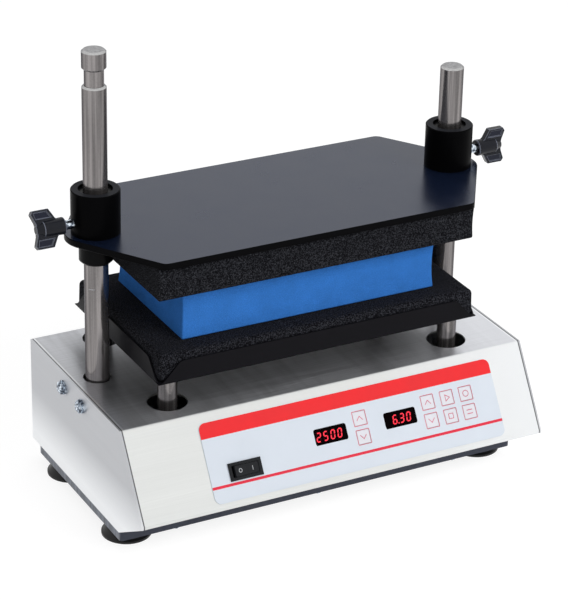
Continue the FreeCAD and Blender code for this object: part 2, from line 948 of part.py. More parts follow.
def tray_screws():
    screws = []
    for x, y in tray_post_places():
        head = rod(tray_screw_head_radius, tray_floor, tray_floor + tray_screw_head, x, y)
        shank = rod(tray_screw_radius, tray_bottom - tray_screw_reach, tray_floor, x, y)
        screws.append(head.fuse(shank).removeSplitter())
        low_head = rod(tray_screw_head_radius, orbit_bottom - tray_screw_head, orbit_bottom, x, y)
        low_shank = rod(tray_screw_radius, orbit_bottom, orbit_top + tray_screw_reach, x, y)
        screws.append(low_head.fuse(low_shank).removeSplitter())
    return group(screws)


# Orbit drive

def orbit_plate():
    x = tray_post_x + orbit_plate_margin_x
    y = tray_post_reach_y + orbit_plate_margin_y
    plate = rounded_block(-x, x, post_y - y, post_y + y, orbit_bottom, orbit_top, orbit_plate_corner)
    tools = [rod(crank_bearing_radius, orbit_bottom, orbit_top, orbit_radius, post_y)]
    for x in (orbit_radius - idler_x, orbit_radius + idler_x):
        tools.append(rod(idler_bearing_radius, orbit_bottom, orbit_top, x, post_y))
    tools += [rod(tray_screw_radius, orbit_bottom, orbit_top, px, py) for px, py in tray_post_places()]
    for sx in (-1, 1):
        for sy in (-1, 1):
            cx = sx * orbit_window_x
            cy = post_y + sy * orbit_window_y
            window = rounded_block(cx - orbit_window_length / 2, cx + orbit_window_length / 2,
                                   cy - orbit_window_depth / 2, cy + orbit_window_depth / 2,
                                   orbit_bottom, orbit_top, orbit_window_corner)
            tools.append(window)
    return plate.cut(tools)


def ring(outer, inner, z0, z1, x, y):
    return rod(outer, z0, z1, x, y).cut(rod(inner, z0, z1, x, y))


def plate_bearings():
    bore = crank_pin_radius + running_clearance
    rings = [ring(crank_bearing_radius, bore, orbit_bottom, orbit_top, orbit_radius, post_y)]
    small = idler_pin_radius + running_clearance
    for sx in (-1, 1):
        x = orbit_radius + sx * idler_x
        rings.append(ring(idler_bearing_radius, small, orbit_bottom, orbit_top, x, post_y))
    return group(rings)


def crankshaft():
    tail = rod(motor_shaft_radius, bracket_bottom - motor_shaft_depth, bracket_bottom, 0, post_y)
    journal = rod(shaft_radius, bracket_bottom, crank_hub_bottom, 0, post_y)
    hub = rod(crank_hub_radius, crank_hub_bottom, crank_hub_top, 0, post_y)
    collar_z = orbit_bottom - bearing_gap
    neck = rod(crank_pin_radius + crank_gap, crank_hub_top, collar_z, orbit_radius, post_y)
    pin = rod(crank_pin_radius, crank_hub_top, orbit_top + pin_cap, orbit_radius, post_y)
    return tail.fuse([journal, hub, neck, pin]).removeSplitter()


def counterweight():
    z0 = crank_hub_bottom + weight_lift
    z1 = z0 + weight_thickness
    disc = rod(weight_radius, z0, z1, 0, post_y)
    keep = block(-weight_radius, 0, post_y - weight_radius, post_y + weight_radius, z0, z1)
    bore = rod(crank_hub_radius, z0, z1, 0, post_y)
    return disc.common(keep).cut(bore)


def left_idler():
    pin_x = orbit_radius - idler_x
    collar_z = orbit_bottom - bearing_gap
    shaft = rod(idler_pin_radius, main_bearing_bottom, crank_hub_bottom, -idler_x, post_y)
    hub = rod(idler_hub_radius, crank_hub_bottom, crank_hub_top, -idler_x, post_y)
    neck = rod(idler_pin_radius + crank_gap, crank_hub_top, collar_z, pin_x, post_y)
    pin = rod(idler_pin_radius, crank_hub_top, orbit_top + pin_cap, pin_x, post_y)
    return shaft.fuse([hub, neck, pin]).removeSplitter()


def right_idler():
    idler = left_idler()
    idler.translate(V(idler_spacing, 0, 0))
    return idler


def idler_pedestals():
    pedestals = []
    floor_z = main_bearing_bottom - crank_gap
    for sx in (-1, 1):
        outline = [
            (0.0, base_top),
            (idler_foot_radius, base_top),
            (idler_foot_radius, base_top + idler_foot_height),
            (idler_column_radius, base_top + idler_foot_height + idler_foot_taper),
            (idler_column_radius, main_bearing_top),
            (idler_bearing_radius, main_bearing_top),
            (idler_bearing_radius, main_bearing_bottom),
            (idler_bearing_radius - bearing_shoulder, main_bearing_bottom),
            (idler_bearing_radius - bearing_shoulder, floor_z),
            (0.0, floor_z),
        ]
        pedestals.append(turned(outline, sx * idler_x, post_y))
    return group(pedestals)


def fixed_bearings():
    bore = shaft_radius + running_clearance
    rings = [ring(main_bearing_radius, bore, main_bearing_bottom, main_bearing_top, 0, post_y)]
    small = idler_pin_radius + running_clearance
    for x in (-idler_x, idler_x):
        rings.append(ring(idler_bearing_radius, small, main_bearing_bottom, main_bearing_top, x, post_y))
    return group(rings)


def leg_places():
    reach = bracket_size / 2 - bracket_leg_inset
    return [(sx * reach, post_y + sy * reach) for sx in (-1, 1) for sy in (-1, 1)]


def motor_bracket():
    half = bracket_size / 2
    plate = rounded_block(-half, half, post_y - half, post_y + half,
                          bracket_bottom, bracket_top, bracket_leg_inset)
    boss = rod(bracket_boss_radius, bracket_bottom, main_bearing_top, 0, post_y)
    bracket = plate.fuse(boss).removeSplitter()
    tools = [rod(main_bearing_radius, main_bearing_bottom, main_bearing_top, 0, post_y)]
    tools.append(rod(shaft_radius + crank_gap, bracket_bottom, main_bearing_bottom, 0, post_y))
    return bracket.cut(tools)


def bracket_legs():
    return group([rod(bracket_leg_radius, base_top, bracket_bottom, x, y) for x, y in leg_places()])


def motor():
    bottom = bracket_bottom - motor_height
    can = rod(motor_radius, bottom, bracket_bottom, 0, post_y)
    rims = [e for e in can.Edges if e.Length > 2 * motor_radius and abs(e.CenterOfMass.z - bottom) < 0.01]
    can = can.makeChamfer(motor_rim, rims)
    tail = rod(motor_tail_radius, bottom - motor_tail_height, bottom, 0, post_y)
    bore_bottom = bracket_bottom - motor_shaft_depth - crank_gap
    bore = rod(motor_shaft_radius + running_clearance, bore_bottom, bracket_bottom, 0, post_y)
    return can.fuse(tail).removeSplitter().cut(bore)


# Controls

def control_overlay():
    film = rounded_block(overlay_left, overlay_right, -overlay_bottom, -overlay_top,
                         0, overlay_thickness, overlay_corner)
    return on_face(film.cut(panel_cutouts(-sheet, sheet)))


def display(u):
    front = overlay_thickness - display_sink
    return on_face(face_block(u, display_v, display_width, display_height, -board_depth, front))


def controller_board():
    u = (board_left + board_right) / 2
    v = (board_top_v + board_bottom_v) / 2
    width = board_right - board_left
    height = board_bottom_v - board_top_v
    return on_face(face_block(u, v, width, height, -board_depth - board_thickness, -board_depth))


def board_standoffs():
    posts = []
    for u in (board_left + board_standoff_inset, board_right - board_standoff_inset):
        for v in (board_top_v + board_standoff_inset, board_bottom_v - board_standoff_inset):
            posts.append(on_face(rod(board_standoff_radius, -board_depth, -sheet, u, -v)))
    return group(posts)


def key_switches():
    parts = []
    for name, u, v in key_places():
        top = -board_depth + key_switch_height
        body = face_block(u, v, key_switch_size, key_switch_size, -board_depth, top)
        plunger = rod(key_plunger_radius, top, top + key_plunger_length, u, -v)
        parts.append(on_face(body.fuse(plunger).removeSplitter()))
    return group(parts)


def key_cap(u, v):
    pad = face_block(u, v, key_size, key_size, key_back, overlay_thickness)
    rims = [e for e in pad.Edges if abs(e.CenterOfMass.z - overlay_thickness) < 0.01]
    pad = pad.makeFillet(key_edge, rims)
    flange_size = key_size + 2 * key_flange_margin
    flange_back = key_back - key_flange_thickness
    skirt = face_block(u, v, flange_size, flange_size, flange_back, key_back)
    stem = rod(key_stem_radius, key_stem_bottom, flange_back, u, -v)
    return on_face(pad.fuse([skirt, stem]).removeSplitter())


def switch_frame():
    w1 = overlay_thickness + switch_flange
    rim = face_block(switch_u, switch_v, switch_width, switch_height, overlay_thickness, w1)
    body = face_block(switch_u, switch_v, switch_body_width, switch_body_height,
                      -switch_body_depth, overlay_thickness)
    body = body.fuse(rim).removeSplitter()
    inner_width = switch_body_width - 2 * switch_wall
    inner_height = switch_body_height - 2 * switch_wall
    pocket = face_block(switch_u, switch_v, inner_width, inner_height, -switch_pocket_depth, w1)
    pin_hole = rocker_pin(rocker_pin_radius + running_clearance, rocker_half_height + 2 * rocker_pin_reach)
    return on_face(body.cut([pocket, pin_hole]))


def rocker_pin(radius, reach):
    centre = V(switch_u, -switch_v - reach, -rocker_axis_depth)
    return Part.makeCylinder(radius, 2 * reach, centre, V(0, 1, 0))


def switch_rocker():
    end_top = overlay_thickness + rocker_end_rise
    outline = [
        (-rocker_half_length, end_top),
        (0.0, overlay_thickness + rocker_middle_rise),
        (rocker_half_length, end_top),
        (rocker_half_length, end_top - rocker_side),
        (rocker_keel_half, -rocker_keel_depth),
        (-rocker_keel_half, -rocker_keel_depth),
        (-rocker_half_length, end_top - rocker_side),
    ]
    y0 = -switch_v - rocker_half_height
    face = polygon([V(switch_u + u, y0, w) for u, w in outline])
    rocker = face.extrude(V(0, 2 * rocker_half_height, 0))
    pin = rocker_pin(rocker_pin_radius, rocker_half_height + rocker_pin_reach)
    rocker = rocker.fuse(pin).removeSplitter()
    rocker.rotate(V(switch_u, -switch_v, -rocker_axis_depth), V(0, 1, 0), rocker_tilt)
    return on_face(rocker)


def power_inlet():
    half_w = inlet_width / 2
    half_h = inlet_height / 2
    plate = block(inlet_x - half_w, inlet_x + half_w, rear_y, back_y, inlet_z - half_h, inlet_z + half_h)
    corners = [e for e in plate.Edges if abs(e.tangentAt(e.FirstParameter).y) > 0.999]
    plate = plate.makeFillet(inlet_corner, corners)
    body_w = inlet_body_width / 2
    body_h = inlet_body_height / 2
    depth_y = rear_y - inlet_body_depth
    body = block(inlet_x - body_w, inlet_x + body_w, depth_y, rear_y, inlet_z - body_h, inlet_z + body_h)
    solid = plate.fuse(body).removeSplitter()
    hole_w = body_w - inlet_wall
    hole_h = body_h - inlet_wall
    recess = block(inlet_x - hole_w, inlet_x + hole_w, inlet_floor_y, back_y,
                   inlet_z - hole_h, inlet_z + hole_h)
    solid = solid.cut(recess)
    pins = []
    half_w = inlet_pin_width / 2
    half_h = inlet_pin_height / 2
    pin_end = inlet_floor_y + inlet_pin_length
    for i in (-1, 0, 1):
        x = inlet_x + i * inlet_pin_pitch
        z = inlet_z + (inlet_pin_width if i == 0 else -inlet_pin_width)
        pins.append(block(x - half_w, x + half_w, inlet_floor_y, pin_end, z - half_h, z + half_h))
    return solid.fuse(pins).removeSplitter()


def fuse_holder():
    cap = rod_y(fuse_cap_radius, rear_y, back_y, fuse_x, inlet_z)
    body = rod_y(fuse_body_radius, rear_y - fuse_body_length, rear_y, fuse_x, inlet_z)
    return cap.fuse(body).removeSplitter()


def power_board_places():
    xs = (power_board_left + board_standoff_inset, power_board_right - board_standoff_inset)
    ys = (power_board_front + board_standoff_inset, power_board_back - board_standoff_inset)
    return [(x, y) for x in xs for y in ys]


def power_board():
    z0 = base_top + power_board_lift
    z1 = z0 + board_thickness
    board = block(power_board_left, power_board_right, power_board_front, power_board_back, z0, z1)
    legs = [rod(board_standoff_radius, base_top, z0, x, y) for x, y in power_board_places()]
    return board.fuse(legs).removeSplitter()


def power_components():
    z = base_top + power_board_lift + board_thickness
    y = (power_board_front + power_board_back) / 2
    x = power_board_left + board_standoff_inset + transformer_size
    half = transformer_size / 2
    transformer = block(x - half, x + half, y - half, y + half, z, z + transformer_size)
    parts = [transformer]
    for i in range(2):
        cx = x + transformer_size + i * capacitor_pitch
        parts.append(rod(capacitor_radius, z, z + capacitor_height, cx, y + capacitor_radius))
    sink_x = x + transformer_size - capacitor_radius
    sink_y = power_board_front + board_standoff_inset
    sink_top = z + heatsink_height
    base = block(sink_x, sink_x + heatsink_length, sink_y, sink_y + heatsink_wall, z, sink_top)
    fins = []
    for i in range(heatsink_fins):
        fx = sink_x + i * (heatsink_length - heatsink_fin) / (heatsink_fins - 1)
        fins.append(block(fx, fx + heatsink_fin, sink_y, sink_y + heatsink_depth, z, sink_top))
    parts.append(base.fuse(fins).removeSplitter())
    return group(parts)


def build():
    nodes["base_plate"] = base_plate()
    nodes["rubber_feet"] = rubber_feet()
    nodes["base_screws"] = base_screws()
    nodes["hood_cover"] = hood_cover()
    nodes["left_side_panel"] = side_panel()
    nodes["right_side_panel"] = mirrored_x(side_panel())
    nodes["rear_panel"] = rear_panel()
    nodes["panel_screws"] = panel_screws()
    nodes["left_post"] = left_post()
    nodes["right_post"] = right_post()
    nodes["left_post_block"] = post_block()
    nodes["right_post_block"] = mirrored_x(post_block())
    nodes["post_block_bolts"] = post_block_bolts()
    nodes["presser_plate"] = presser_plate()
    nodes["presser_pad"] = presser_pad()
    nodes["left_collar"] = left_collar()
    nodes["right_collar"] = mirrored_x(left_collar())
    nodes["left_sleeve"] = left_sleeve()
    nodes["right_sleeve"] = mirrored_x(left_sleeve())
    nodes["collar_screws"] = collar_screws()
    nodes["left_clamp_screw"] = left_clamp_screw()
    nodes["right_clamp_screw"] = mirrored_x(left_clamp_screw())
    nodes["left_wing_knob"] = left_wing_knob()
    nodes["right_wing_knob"] = mirrored_x(upright_wing_knob())
    nodes["tube_rack"] = tube_rack()
    nodes["tray"] = tray()
    nodes["tray_pad"] = tray_pad()
    nodes["tray_posts"] = tray_posts()
    nodes["tray_screws"] = tray_screws()
    nodes["orbit_plate"] = orbit_plate()
    nodes["plate_bearings"] = plate_bearings()
    nodes["crankshaft"] = crankshaft()
    nodes["counterweight"] = counterweight()
    nodes["left_idler"] = left_idler()
    nodes["right_idler"] = right_idler()
    nodes["idler_pedestals"] = idler_pedestals()
    nodes["fixed_bearings"] = fixed_bearings()
    nodes["motor_bracket"] = motor_bracket()
    nodes["bracket_legs"] = bracket_legs()
    nodes["motor"] = motor()
    nodes["control_overlay"] = control_overlay()
    nodes["speed_display"] = display(speed_display_u)
    nodes["time_display"] = display(time_display_u)
    nodes["controller_board"] = controller_board()
    nodes["board_standoffs"] = board_standoffs()
    nodes["key_switches"] = key_switches()
    for name, u, v in key_places():
        nodes[name] = key_cap(u, v)
    nodes["switch_frame"] = switch_frame()
    nodes["switch_rocker"] = switch_rocker()
    nodes["power_inlet"] = power_inlet()
    nodes["fuse_holder"] = fuse_holder()
    nodes["power_board"] = power_board()
    nodes["power_components"] = power_components()


def save():
    os.makedirs("parts", exist_ok=True)
    for name, shape in nodes.items():
        shape.exportStep("parts/%s.step" % name)


build()
save()
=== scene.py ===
import math

import bmesh
import bpy
from mathutils import Matrix, Vector, noise


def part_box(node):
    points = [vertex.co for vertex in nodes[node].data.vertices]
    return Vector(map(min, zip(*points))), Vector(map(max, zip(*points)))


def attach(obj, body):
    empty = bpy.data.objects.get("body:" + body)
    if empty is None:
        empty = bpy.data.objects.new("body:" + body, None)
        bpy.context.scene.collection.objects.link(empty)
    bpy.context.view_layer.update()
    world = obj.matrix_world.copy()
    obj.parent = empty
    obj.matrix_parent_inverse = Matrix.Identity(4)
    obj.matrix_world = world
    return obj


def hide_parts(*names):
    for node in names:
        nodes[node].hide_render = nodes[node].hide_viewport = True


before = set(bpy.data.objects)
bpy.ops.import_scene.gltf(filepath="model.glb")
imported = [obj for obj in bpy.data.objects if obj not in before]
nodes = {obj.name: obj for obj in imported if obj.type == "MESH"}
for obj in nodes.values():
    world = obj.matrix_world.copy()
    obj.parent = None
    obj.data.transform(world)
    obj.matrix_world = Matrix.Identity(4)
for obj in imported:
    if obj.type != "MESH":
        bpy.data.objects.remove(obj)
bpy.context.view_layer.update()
scene = bpy.context.scene
scene.view_settings.view_transform = "Standard"

MM = 0.001

# Camera, set to the photograph's angle
AZIMUTH = math.radians(-28.372)
ELEVATION = math.radians(25.604)
ROLL = math.radians(1.280)
DISTANCE = 2.2762
TARGET = Vector((-0.00460, -0.00005, 0.16893))
LENS = 155.42

back = Vector((
    math.sin(AZIMUTH) * math.cos(ELEVATION),
    -math.cos(AZIMUTH) * math.cos(ELEVATION),
    math.sin(ELEVATION),
))
level = Vector((math.cos(AZIMUTH), math.sin(AZIMUTH), 0.0))
upward = back.cross(level)
right = level * math.cos(ROLL) + upward * math.sin(ROLL)
up = upward * math.cos(ROLL) - level * math.sin(ROLL)
camera_data = bpy.data.cameras.new("camera")
camera_data.lens = LENS
camera_data.clip_start = 0.05
camera = bpy.data.objects.new("camera", camera_data)
turned = Matrix((right, up, back)).transposed().to_4x4()
camera.matrix_world = Matrix.Translation(TARGET + back * DISTANCE) @ turned
scene.collection.objects.link(camera)
scene.camera = camera


class Shader:
    """The node graph of one material, with short ways to add and join nodes."""

    def __init__(self, name, colour, roughness, metallic=0.0, specular=0.5):
        self.material = bpy.data.materials.new(name)
        self.material.use_nodes = True
        self.tree = self.material.node_tree
        self.bsdf = self.tree.nodes["Principled BSDF"]
        self.set("Base Color", (*colour, 1.0))
        self.set("Roughness", roughness)
        self.set("Metallic", metallic)
        self.set("Specular IOR Level", specular)
        self.place = self.add("ShaderNodeTexCoord").outputs["Object"]

    def set(self, socket, value):
        self.bsdf.inputs[socket].default_value = value

    def add(self, kind, **values):
        node = self.tree.nodes.new(kind)
        for key, value in values.items():
            setattr(node, key, value)
        return node

    def join(self, source, target):
        self.tree.links.new(source, target)

    def scaled(self, scale):
        """The object's own coordinates, in metres, times scale on each axis."""
        node = self.add("ShaderNodeMapping")
        node.inputs["Scale"].default_value = scale
        self.join(self.place, node.inputs["Vector"])
        return node.outputs["Vector"]

    def noise(self, scale, detail=3.0, roughness=0.55):
        node = self.add("ShaderNodeTexNoise")
        node.inputs["Scale"].default_value = 1.0
        node.inputs["Detail"].default_value = detail
        node.inputs["Roughness"].default_value = roughness
        self.join(self.scaled(scale), node.inputs["Vector"])
        return node.outputs["Fac"]

    def cells(self, scale):
        node = self.add("ShaderNodeTexVoronoi")
        node.inputs["Scale"].default_value = 1.0
        self.join(self.scaled(scale), node.inputs["Vector"])
        return node.outputs["Distance"]

    def ramp(self, source, stops):
        """A colour ramp: stops are (place, grey or colour)."""
        node = self.add("ShaderNodeValToRGB")
        ramp = node.color_ramp
        while len(ramp.elements) < len(stops):
            ramp.elements.new(0.5)
        for element, (place, value) in zip(ramp.elements, stops):
            element.position = place
            colour = (value, value, value) if isinstance(value, (int, float)) else tuple(value)
            element.color = (*colour, 1.0)
        self.join(source, node.inputs["Fac"])
        return node.outputs["Color"]

    def span(self, source, low, high, start=0.0, stop=1.0):
        """source, mapped from start..stop to low..high."""
        node = self.add("ShaderNodeMapRange")
        node.inputs["From Min"].default_value = start
        node.inputs["From Max"].default_value = stop
        node.inputs["To Min"].default_value = low
        node.inputs["To Max"].default_value = high
        self.join(source, node.inputs["Value"])
        return node.outputs["Result"]

    def blend(self, factor, first, second):
        """first and second, each a colour or a socket, mixed by factor."""
        node = self.add("ShaderNodeMix", data_type="RGBA")
        self.join(factor, node.inputs["Factor"])
        for socket, value in ((node.inputs[6], first), (node.inputs[7], second)):
            if isinstance(value, bpy.types.NodeSocket):
                self.join(value, socket)
            else:
                socket.default_value = (*value, 1.0)
        return node.outputs[2]

    def times(self, first, second):
        node = self.add("ShaderNodeMath", operation="MULTIPLY")
        self.join(first, node.inputs[0])
        self.join(second, node.inputs[1])
        return node.outputs[0]

    def bump(self, height, distance, strength=1.0, under=None):
        node = self.add("ShaderNodeBump")
        node.inputs["Distance"].default_value = distance
        node.inputs["Strength"].default_value = strength
        self.join(height, node.inputs["Height"])
        if under is not None:
            self.join(under, node.inputs["Normal"])
        self.join(node.outputs["Normal"], self.bsdf.inputs["Normal"])
        return node.outputs["Normal"]

    def paint(self, colour):
        self.join(colour, self.bsdf.inputs["Base Color"])

    def comb(self, amount, direction):
        """Draws highlights out along one world direction, as fine grain across it does."""
        self.set("Anisotropic", amount)
        node = self.add("ShaderNodeCombineXYZ")
        for axis, value in zip("XYZ", direction):
            node.inputs[axis].default_value = value
        self.join(node.outputs["Vector"], self.bsdf.inputs["Tangent"])

    def polish(self, roughness):
        self.join(roughness, self.bsdf.inputs["Roughness"])

    def facing(self, axis, start, stop):
        """1 where the surface faces along that axis, either way, and 0 where it doesn't."""
        coordinates = self.add("ShaderNodeTexCoord")
        parts = self.add("ShaderNodeSeparateXYZ")
        self.join(coordinates.outputs["Normal"], parts.inputs["Vector"])
        size = self.add("ShaderNodeMath", operation="ABSOLUTE")
        self.join(parts.outputs[axis], size.inputs[0])
        return self.span(size.outputs[0], 0.0, 1.0, start, stop)

    def along(self, axis):
        """The place along one axis, in metres."""
        parts = self.add("ShaderNodeSeparateXYZ")
        self.join(self.place, parts.inputs["Vector"])
        return parts.outputs[axis]


def shade(colour, factor):
    return tuple(min(1.0, c * factor) for c in colour)


def brushed(name, colour, roughness, grain, contrast=0.03, bump=0.00001, top=None, levels=None, seam=None):
    """Brushed sheet: fine grain drawn out along one axis, over slow cloudy patches.

    top is the colour where it faces up, darker than the sheet as a painted reflection, with painted dark
    reflection streaks and painted light towards +X over it; levels is (axis, start, stop, colour there) for a
    slow painted change of reflection along the sheet; and seam is how far out along X its folded end edges
    lie, with a pale painted highlight on the top just inside it and painted seam shade past it.
    """
    s = Shader(name, colour, roughness, metallic=1.0)
    stretch = [1500.0, 1500.0, 1500.0]
    stretch[grain] = 14.0
    fine = s.noise(stretch, detail=4.0, roughness=0.7)
    broad = [90.0, 90.0, 90.0]
    broad[grain] = 4.0
    patches = s.noise(broad, detail=2.0)
    grained = s.ramp(fine, [(0.28, shade(colour, 1.0 - contrast)), (0.72, shade(colour, 1.0 + contrast))])
    surface = s.blend(s.span(patches, 0.0, 0.6, 0.3, 0.7), grained, shade(colour, 1.0 - contrast))
    # A slow painted change of reflection along the sheet
    if levels is not None:
        axis, low, high, other = levels
        surface = s.blend(s.span(s.along(axis), 0.0, 1.0, low, high), surface, other)
    if top is not None:
        # Upward faces: the top colour is a painted reflection, with the fine grain over it
        toned = s.ramp(fine, [(0.25, shade(top, 0.78)), (0.75, shade(top, 1.18))])
        # Painted dark reflection streaks, running front to back
        painted_reflection_streaks = s.noise((60.0, 5.0, 60.0), detail=3.0, roughness=0.6)
        toned = s.blend(s.span(painted_reflection_streaks, 0.0, 0.25, 0.46, 0.66), toned, shade(top, 0.35))
        # Painted light: the top grows lighter towards +X
        toned = s.blend(s.span(s.along("X"), 0.0, 0.55, 0.07, 0.19), toned, shade(top, 1.5))
        surface = s.blend(s.facing("Z", 0.9, 0.97), surface, toned)
    if seam is not None:
        ends = s.add("ShaderNodeMath", operation="ABSOLUTE")
        s.join(s.along("X"), ends.inputs[0])
        # A pale painted highlight on the top, just inside the seam
        strip = s.span(ends.outputs[0], 0.0, 0.8, seam - 0.0018, seam - 0.0012)
        painted_edge_highlight = s.times(s.facing("Z", 0.9, 0.97), strip)
        surface = s.blend(painted_edge_highlight, surface, (0.92, 0.93, 0.95))
        # Painted seam shade: the sheet is dark past the seam
        surface = s.blend(s.span(ends.outputs[0], 0.0, 1.0, seam, seam + 0.0004), surface, (0.10, 0.10, 0.11))
    s.paint(surface)
    s.polish(s.span(fine, roughness * 0.8, roughness * 1.25, 0.3, 0.7))
    s.bump(fine, bump, 0.6)
    s.join(s.span(s.facing("Z", 0.9, 0.97), 0.75, 1.0), s.bsdf.inputs["Metallic"])
    s.comb(0.85, (0.0, 1.0, 0.0) if grain == 0 else (0.0, 0.0, 1.0))
    return s.material


def satin(name, colour, roughness, grain=900.0, depth=0.00003, specular=0.5, metallic=0.0, contrast=0.12,
          tint=(1.0, 1.0, 1.0), top=None):
    """Moulded, coated or turned pieces: a fine even grain, slightly uneven gloss and faint rubbing."""
    s = Shader(name, colour, roughness, metallic, specular)
    s.set("Specular Tint", (*tint, 1.0))
    fine = s.noise((grain, grain, grain), detail=3.0)
    broad = s.noise((35.0, 35.0, 35.0), detail=3.0)
    toned = s.ramp(broad, [(0.3, shade(colour, 1.0 - contrast)), (0.7, shade(colour, 1.0 + contrast))])
    # Where top is given, the faces along Z take it; on the collars it is painted light
    s.paint(toned if top is None else s.blend(s.facing("Z", 0.8, 0.95), toned, top))
    s.polish(s.span(broad, roughness * 0.85, roughness * 1.15, 0.3, 0.7))
    s.bump(fine, depth, 0.5)
    return s.material


def foam(name, colour, speck, cell, light=0.5, deep=0.25):
    """Open-cell foam: small round cells whose dark bottoms are painted shade in the pores, and a few pale
    skins.
    """
    s = Shader(name, colour, 0.95, specular=0.05)
    pores = s.cells((cell, cell, cell))
    small = s.cells((cell * 1.9, cell * 1.9, cell * 1.9))
    drift = s.noise((45.0, 45.0, 45.0), detail=4.0)
    glints = s.noise((cell * 1.1, cell * 1.1, cell * 1.1), detail=2.0, roughness=0.6)
    # The cell grain, with the cell bottoms darker as painted shade and the cell rims lighter
    pores_with_painted_shade = s.ramp(pores, [(0.10, shade(colour, deep)), (0.45, colour), (0.80, shade(colour, 2.0 - deep))])
    clouded = s.blend(s.span(drift, 0.0, 0.4, 0.35, 0.75), pores_with_painted_shade, shade(colour, 0.6))
    s.paint(s.blend(s.span(glints, 0.0, light, 0.46, 0.66), clouded, speck))
    first = s.bump(small, 0.0003, 0.5)
    s.bump(pores, 0.0006, 0.8, first)
    return s.material


def post_steel(name, tone):
    """Ground and polished posts: streaks drawn along them, over fine turning marks."""
    s = Shader(name, tone, 0.16, metallic=0.85)
    s.set("Specular Tint", (0.25, 0.25, 0.27, 1.0))
    streaks = s.noise((260.0, 260.0, 4.0), detail=3.0, roughness=0.6)
    fine = s.noise((400.0, 400.0, 2600.0), detail=3.0)
    drawn = s.ramp(streaks, [(0.30, shade(tone, 0.45)), (0.50, tone), (0.70, shade(tone, 1.7))])
    marked = s.blend(s.span(fine, 0.0, 0.12, 0.4, 0.8), drawn, (0.60, 0.60, 0.61))
    turned_end = s.ramp(fine, [(0.3, 0.42), (0.7, 0.62)])
    s.paint(s.blend(s.facing("Z", 0.35, 0.75), marked, turned_end))
    s.polish(s.span(fine, 0.12, 0.22))
    s.bump(fine, 0.000006, 0.4)
    return s.material


def plated(name, dark, mid, light):
    """Bright plated fixings: hard light and dark patches, painted reflections of the kind small facets throw
    back.
    """
    s = Shader(name, mid, 0.20, metallic=1.0)
    painted_facet_pattern = s.noise((420.0, 420.0, 420.0), detail=1.0)
    fine = s.noise((1500.0, 1500.0, 1500.0), detail=2.0)
    # Painted reflections: dark, mid and light patches
    s.paint(s.ramp(painted_facet_pattern, [(0.36, dark), (0.50, mid), (0.62, light)]))
    s.polish(s.span(fine, 0.14, 0.28, 0.3, 0.7))
    s.bump(painted_facet_pattern, 0.0004, 0.35)
    return s.material


def plate_ends(name, side, end):
    """Coated base plate; its sawn ends show upright streaks and are painted lighter, as a painted reflection.
    """
    s = Shader(name, side, 0.36, specular=0.25)
    streaks = s.noise((30.0, 260.0, 12.0), detail=3.0)
    broad = s.noise((25.0, 25.0, 25.0), detail=3.0)
    coat = s.ramp(broad, [(0.3, shade(side, 0.88)), (0.7, shade(side, 1.12))])
    painted_reflection_end = s.ramp(streaks, [(0.35, shade(end, 0.55)), (0.65, shade(end, 1.25))])
    # The ends facing along X take the lighter painted reflection
    s.paint(s.blend(s.facing("X", 0.8, 0.95), coat, painted_reflection_end))
    s.bump(s.noise((1300.0, 1300.0, 1300.0)), 0.00002, 0.5)
    return s.material


def glow(name, colour, strength):
    s = Shader(name, colour, 0.35)
    grain = s.noise((700.0, 700.0, 700.0))
    lit = s.ramp(grain, [(0.3, shade(colour, 0.88)), (0.7, colour)])
    s.paint(lit)
    s.join(lit, s.bsdf.inputs["Emission Color"])
    s.set("Emission Strength", strength)
    return s.material


# Materials
HOOD_SEAM = 0.1943
# Painted reflection: the hood grows lighter towards +X, and the side panels darker towards their tops
HOOD_PAINTED_REFLECTION = ("X", 0.05, 0.20, (0.87, 0.885, 0.90))
SIDE_PAINTED_REFLECTION = ("Z", 0.030, 0.072, (0.54, 0.55, 0.575))
# The hood's top colour, darker than its front, is a painted reflection
steel_hood = brushed("steel_hood", (0.775, 0.788, 0.775), 0.37, 0, contrast=0.05,
                     top=(0.62, 0.63, 0.66), levels=HOOD_PAINTED_REFLECTION, seam=HOOD_SEAM)
steel_side = brushed("steel_side", (0.95, 0.965, 0.99), 0.36, 1, levels=SIDE_PAINTED_REFLECTION)
steel_rear = brushed("steel_rear", (0.66, 0.67, 0.68), 0.32, 0)
zinc = plated("zinc", (0.05, 0.06, 0.08), (0.30, 0.35, 0.42), (0.80, 0.88, 0.96))
aluminium = satin("aluminium", (0.60, 0.61, 0.63), 0.38, metallic=1.0)
bearing_steel = satin("bearing_steel", (0.50, 0.50, 0.51), 0.22, metallic=1.0)
drive_steel = satin("drive_steel", (0.36, 0.36, 0.38), 0.35, metallic=1.0)
base_paint = plate_ends("base_paint", (0.040, 0.045, 0.066), (0.20, 0.22, 0.27))
presser_top = satin("presser_top", (0.0040, 0.0072, 0.0190), 0.24, grain=1500.0, depth=0.00001,
                    specular=0.515, contrast=0.05, tint=(0.585, 0.69, 1.0))
presser_edge = satin("presser_edge", (0.0015, 0.0015, 0.002), 0.30, grain=1200.0, depth=0.00001,
                     specular=0.03)
# The collars' tops are painted lighter: painted light
collar_black = satin("collar_black", (0.0014, 0.0014, 0.0017), 0.34, grain=1200.0, specular=0.02,
                     top=(0.017, 0.018, 0.022))
sleeve_black = satin("sleeve_black", (0.003, 0.003, 0.0035), 0.30, specular=0.06)
knob_plastic = satin("knob_plastic", (0.0055, 0.0065, 0.0105), 0.22, grain=700.0, depth=0.00005,
                     specular=0.21)
knob_pocket = satin("knob_pocket", (0.008, 0.010, 0.021), 0.34, grain=700.0, depth=0.00005, specular=0.2)
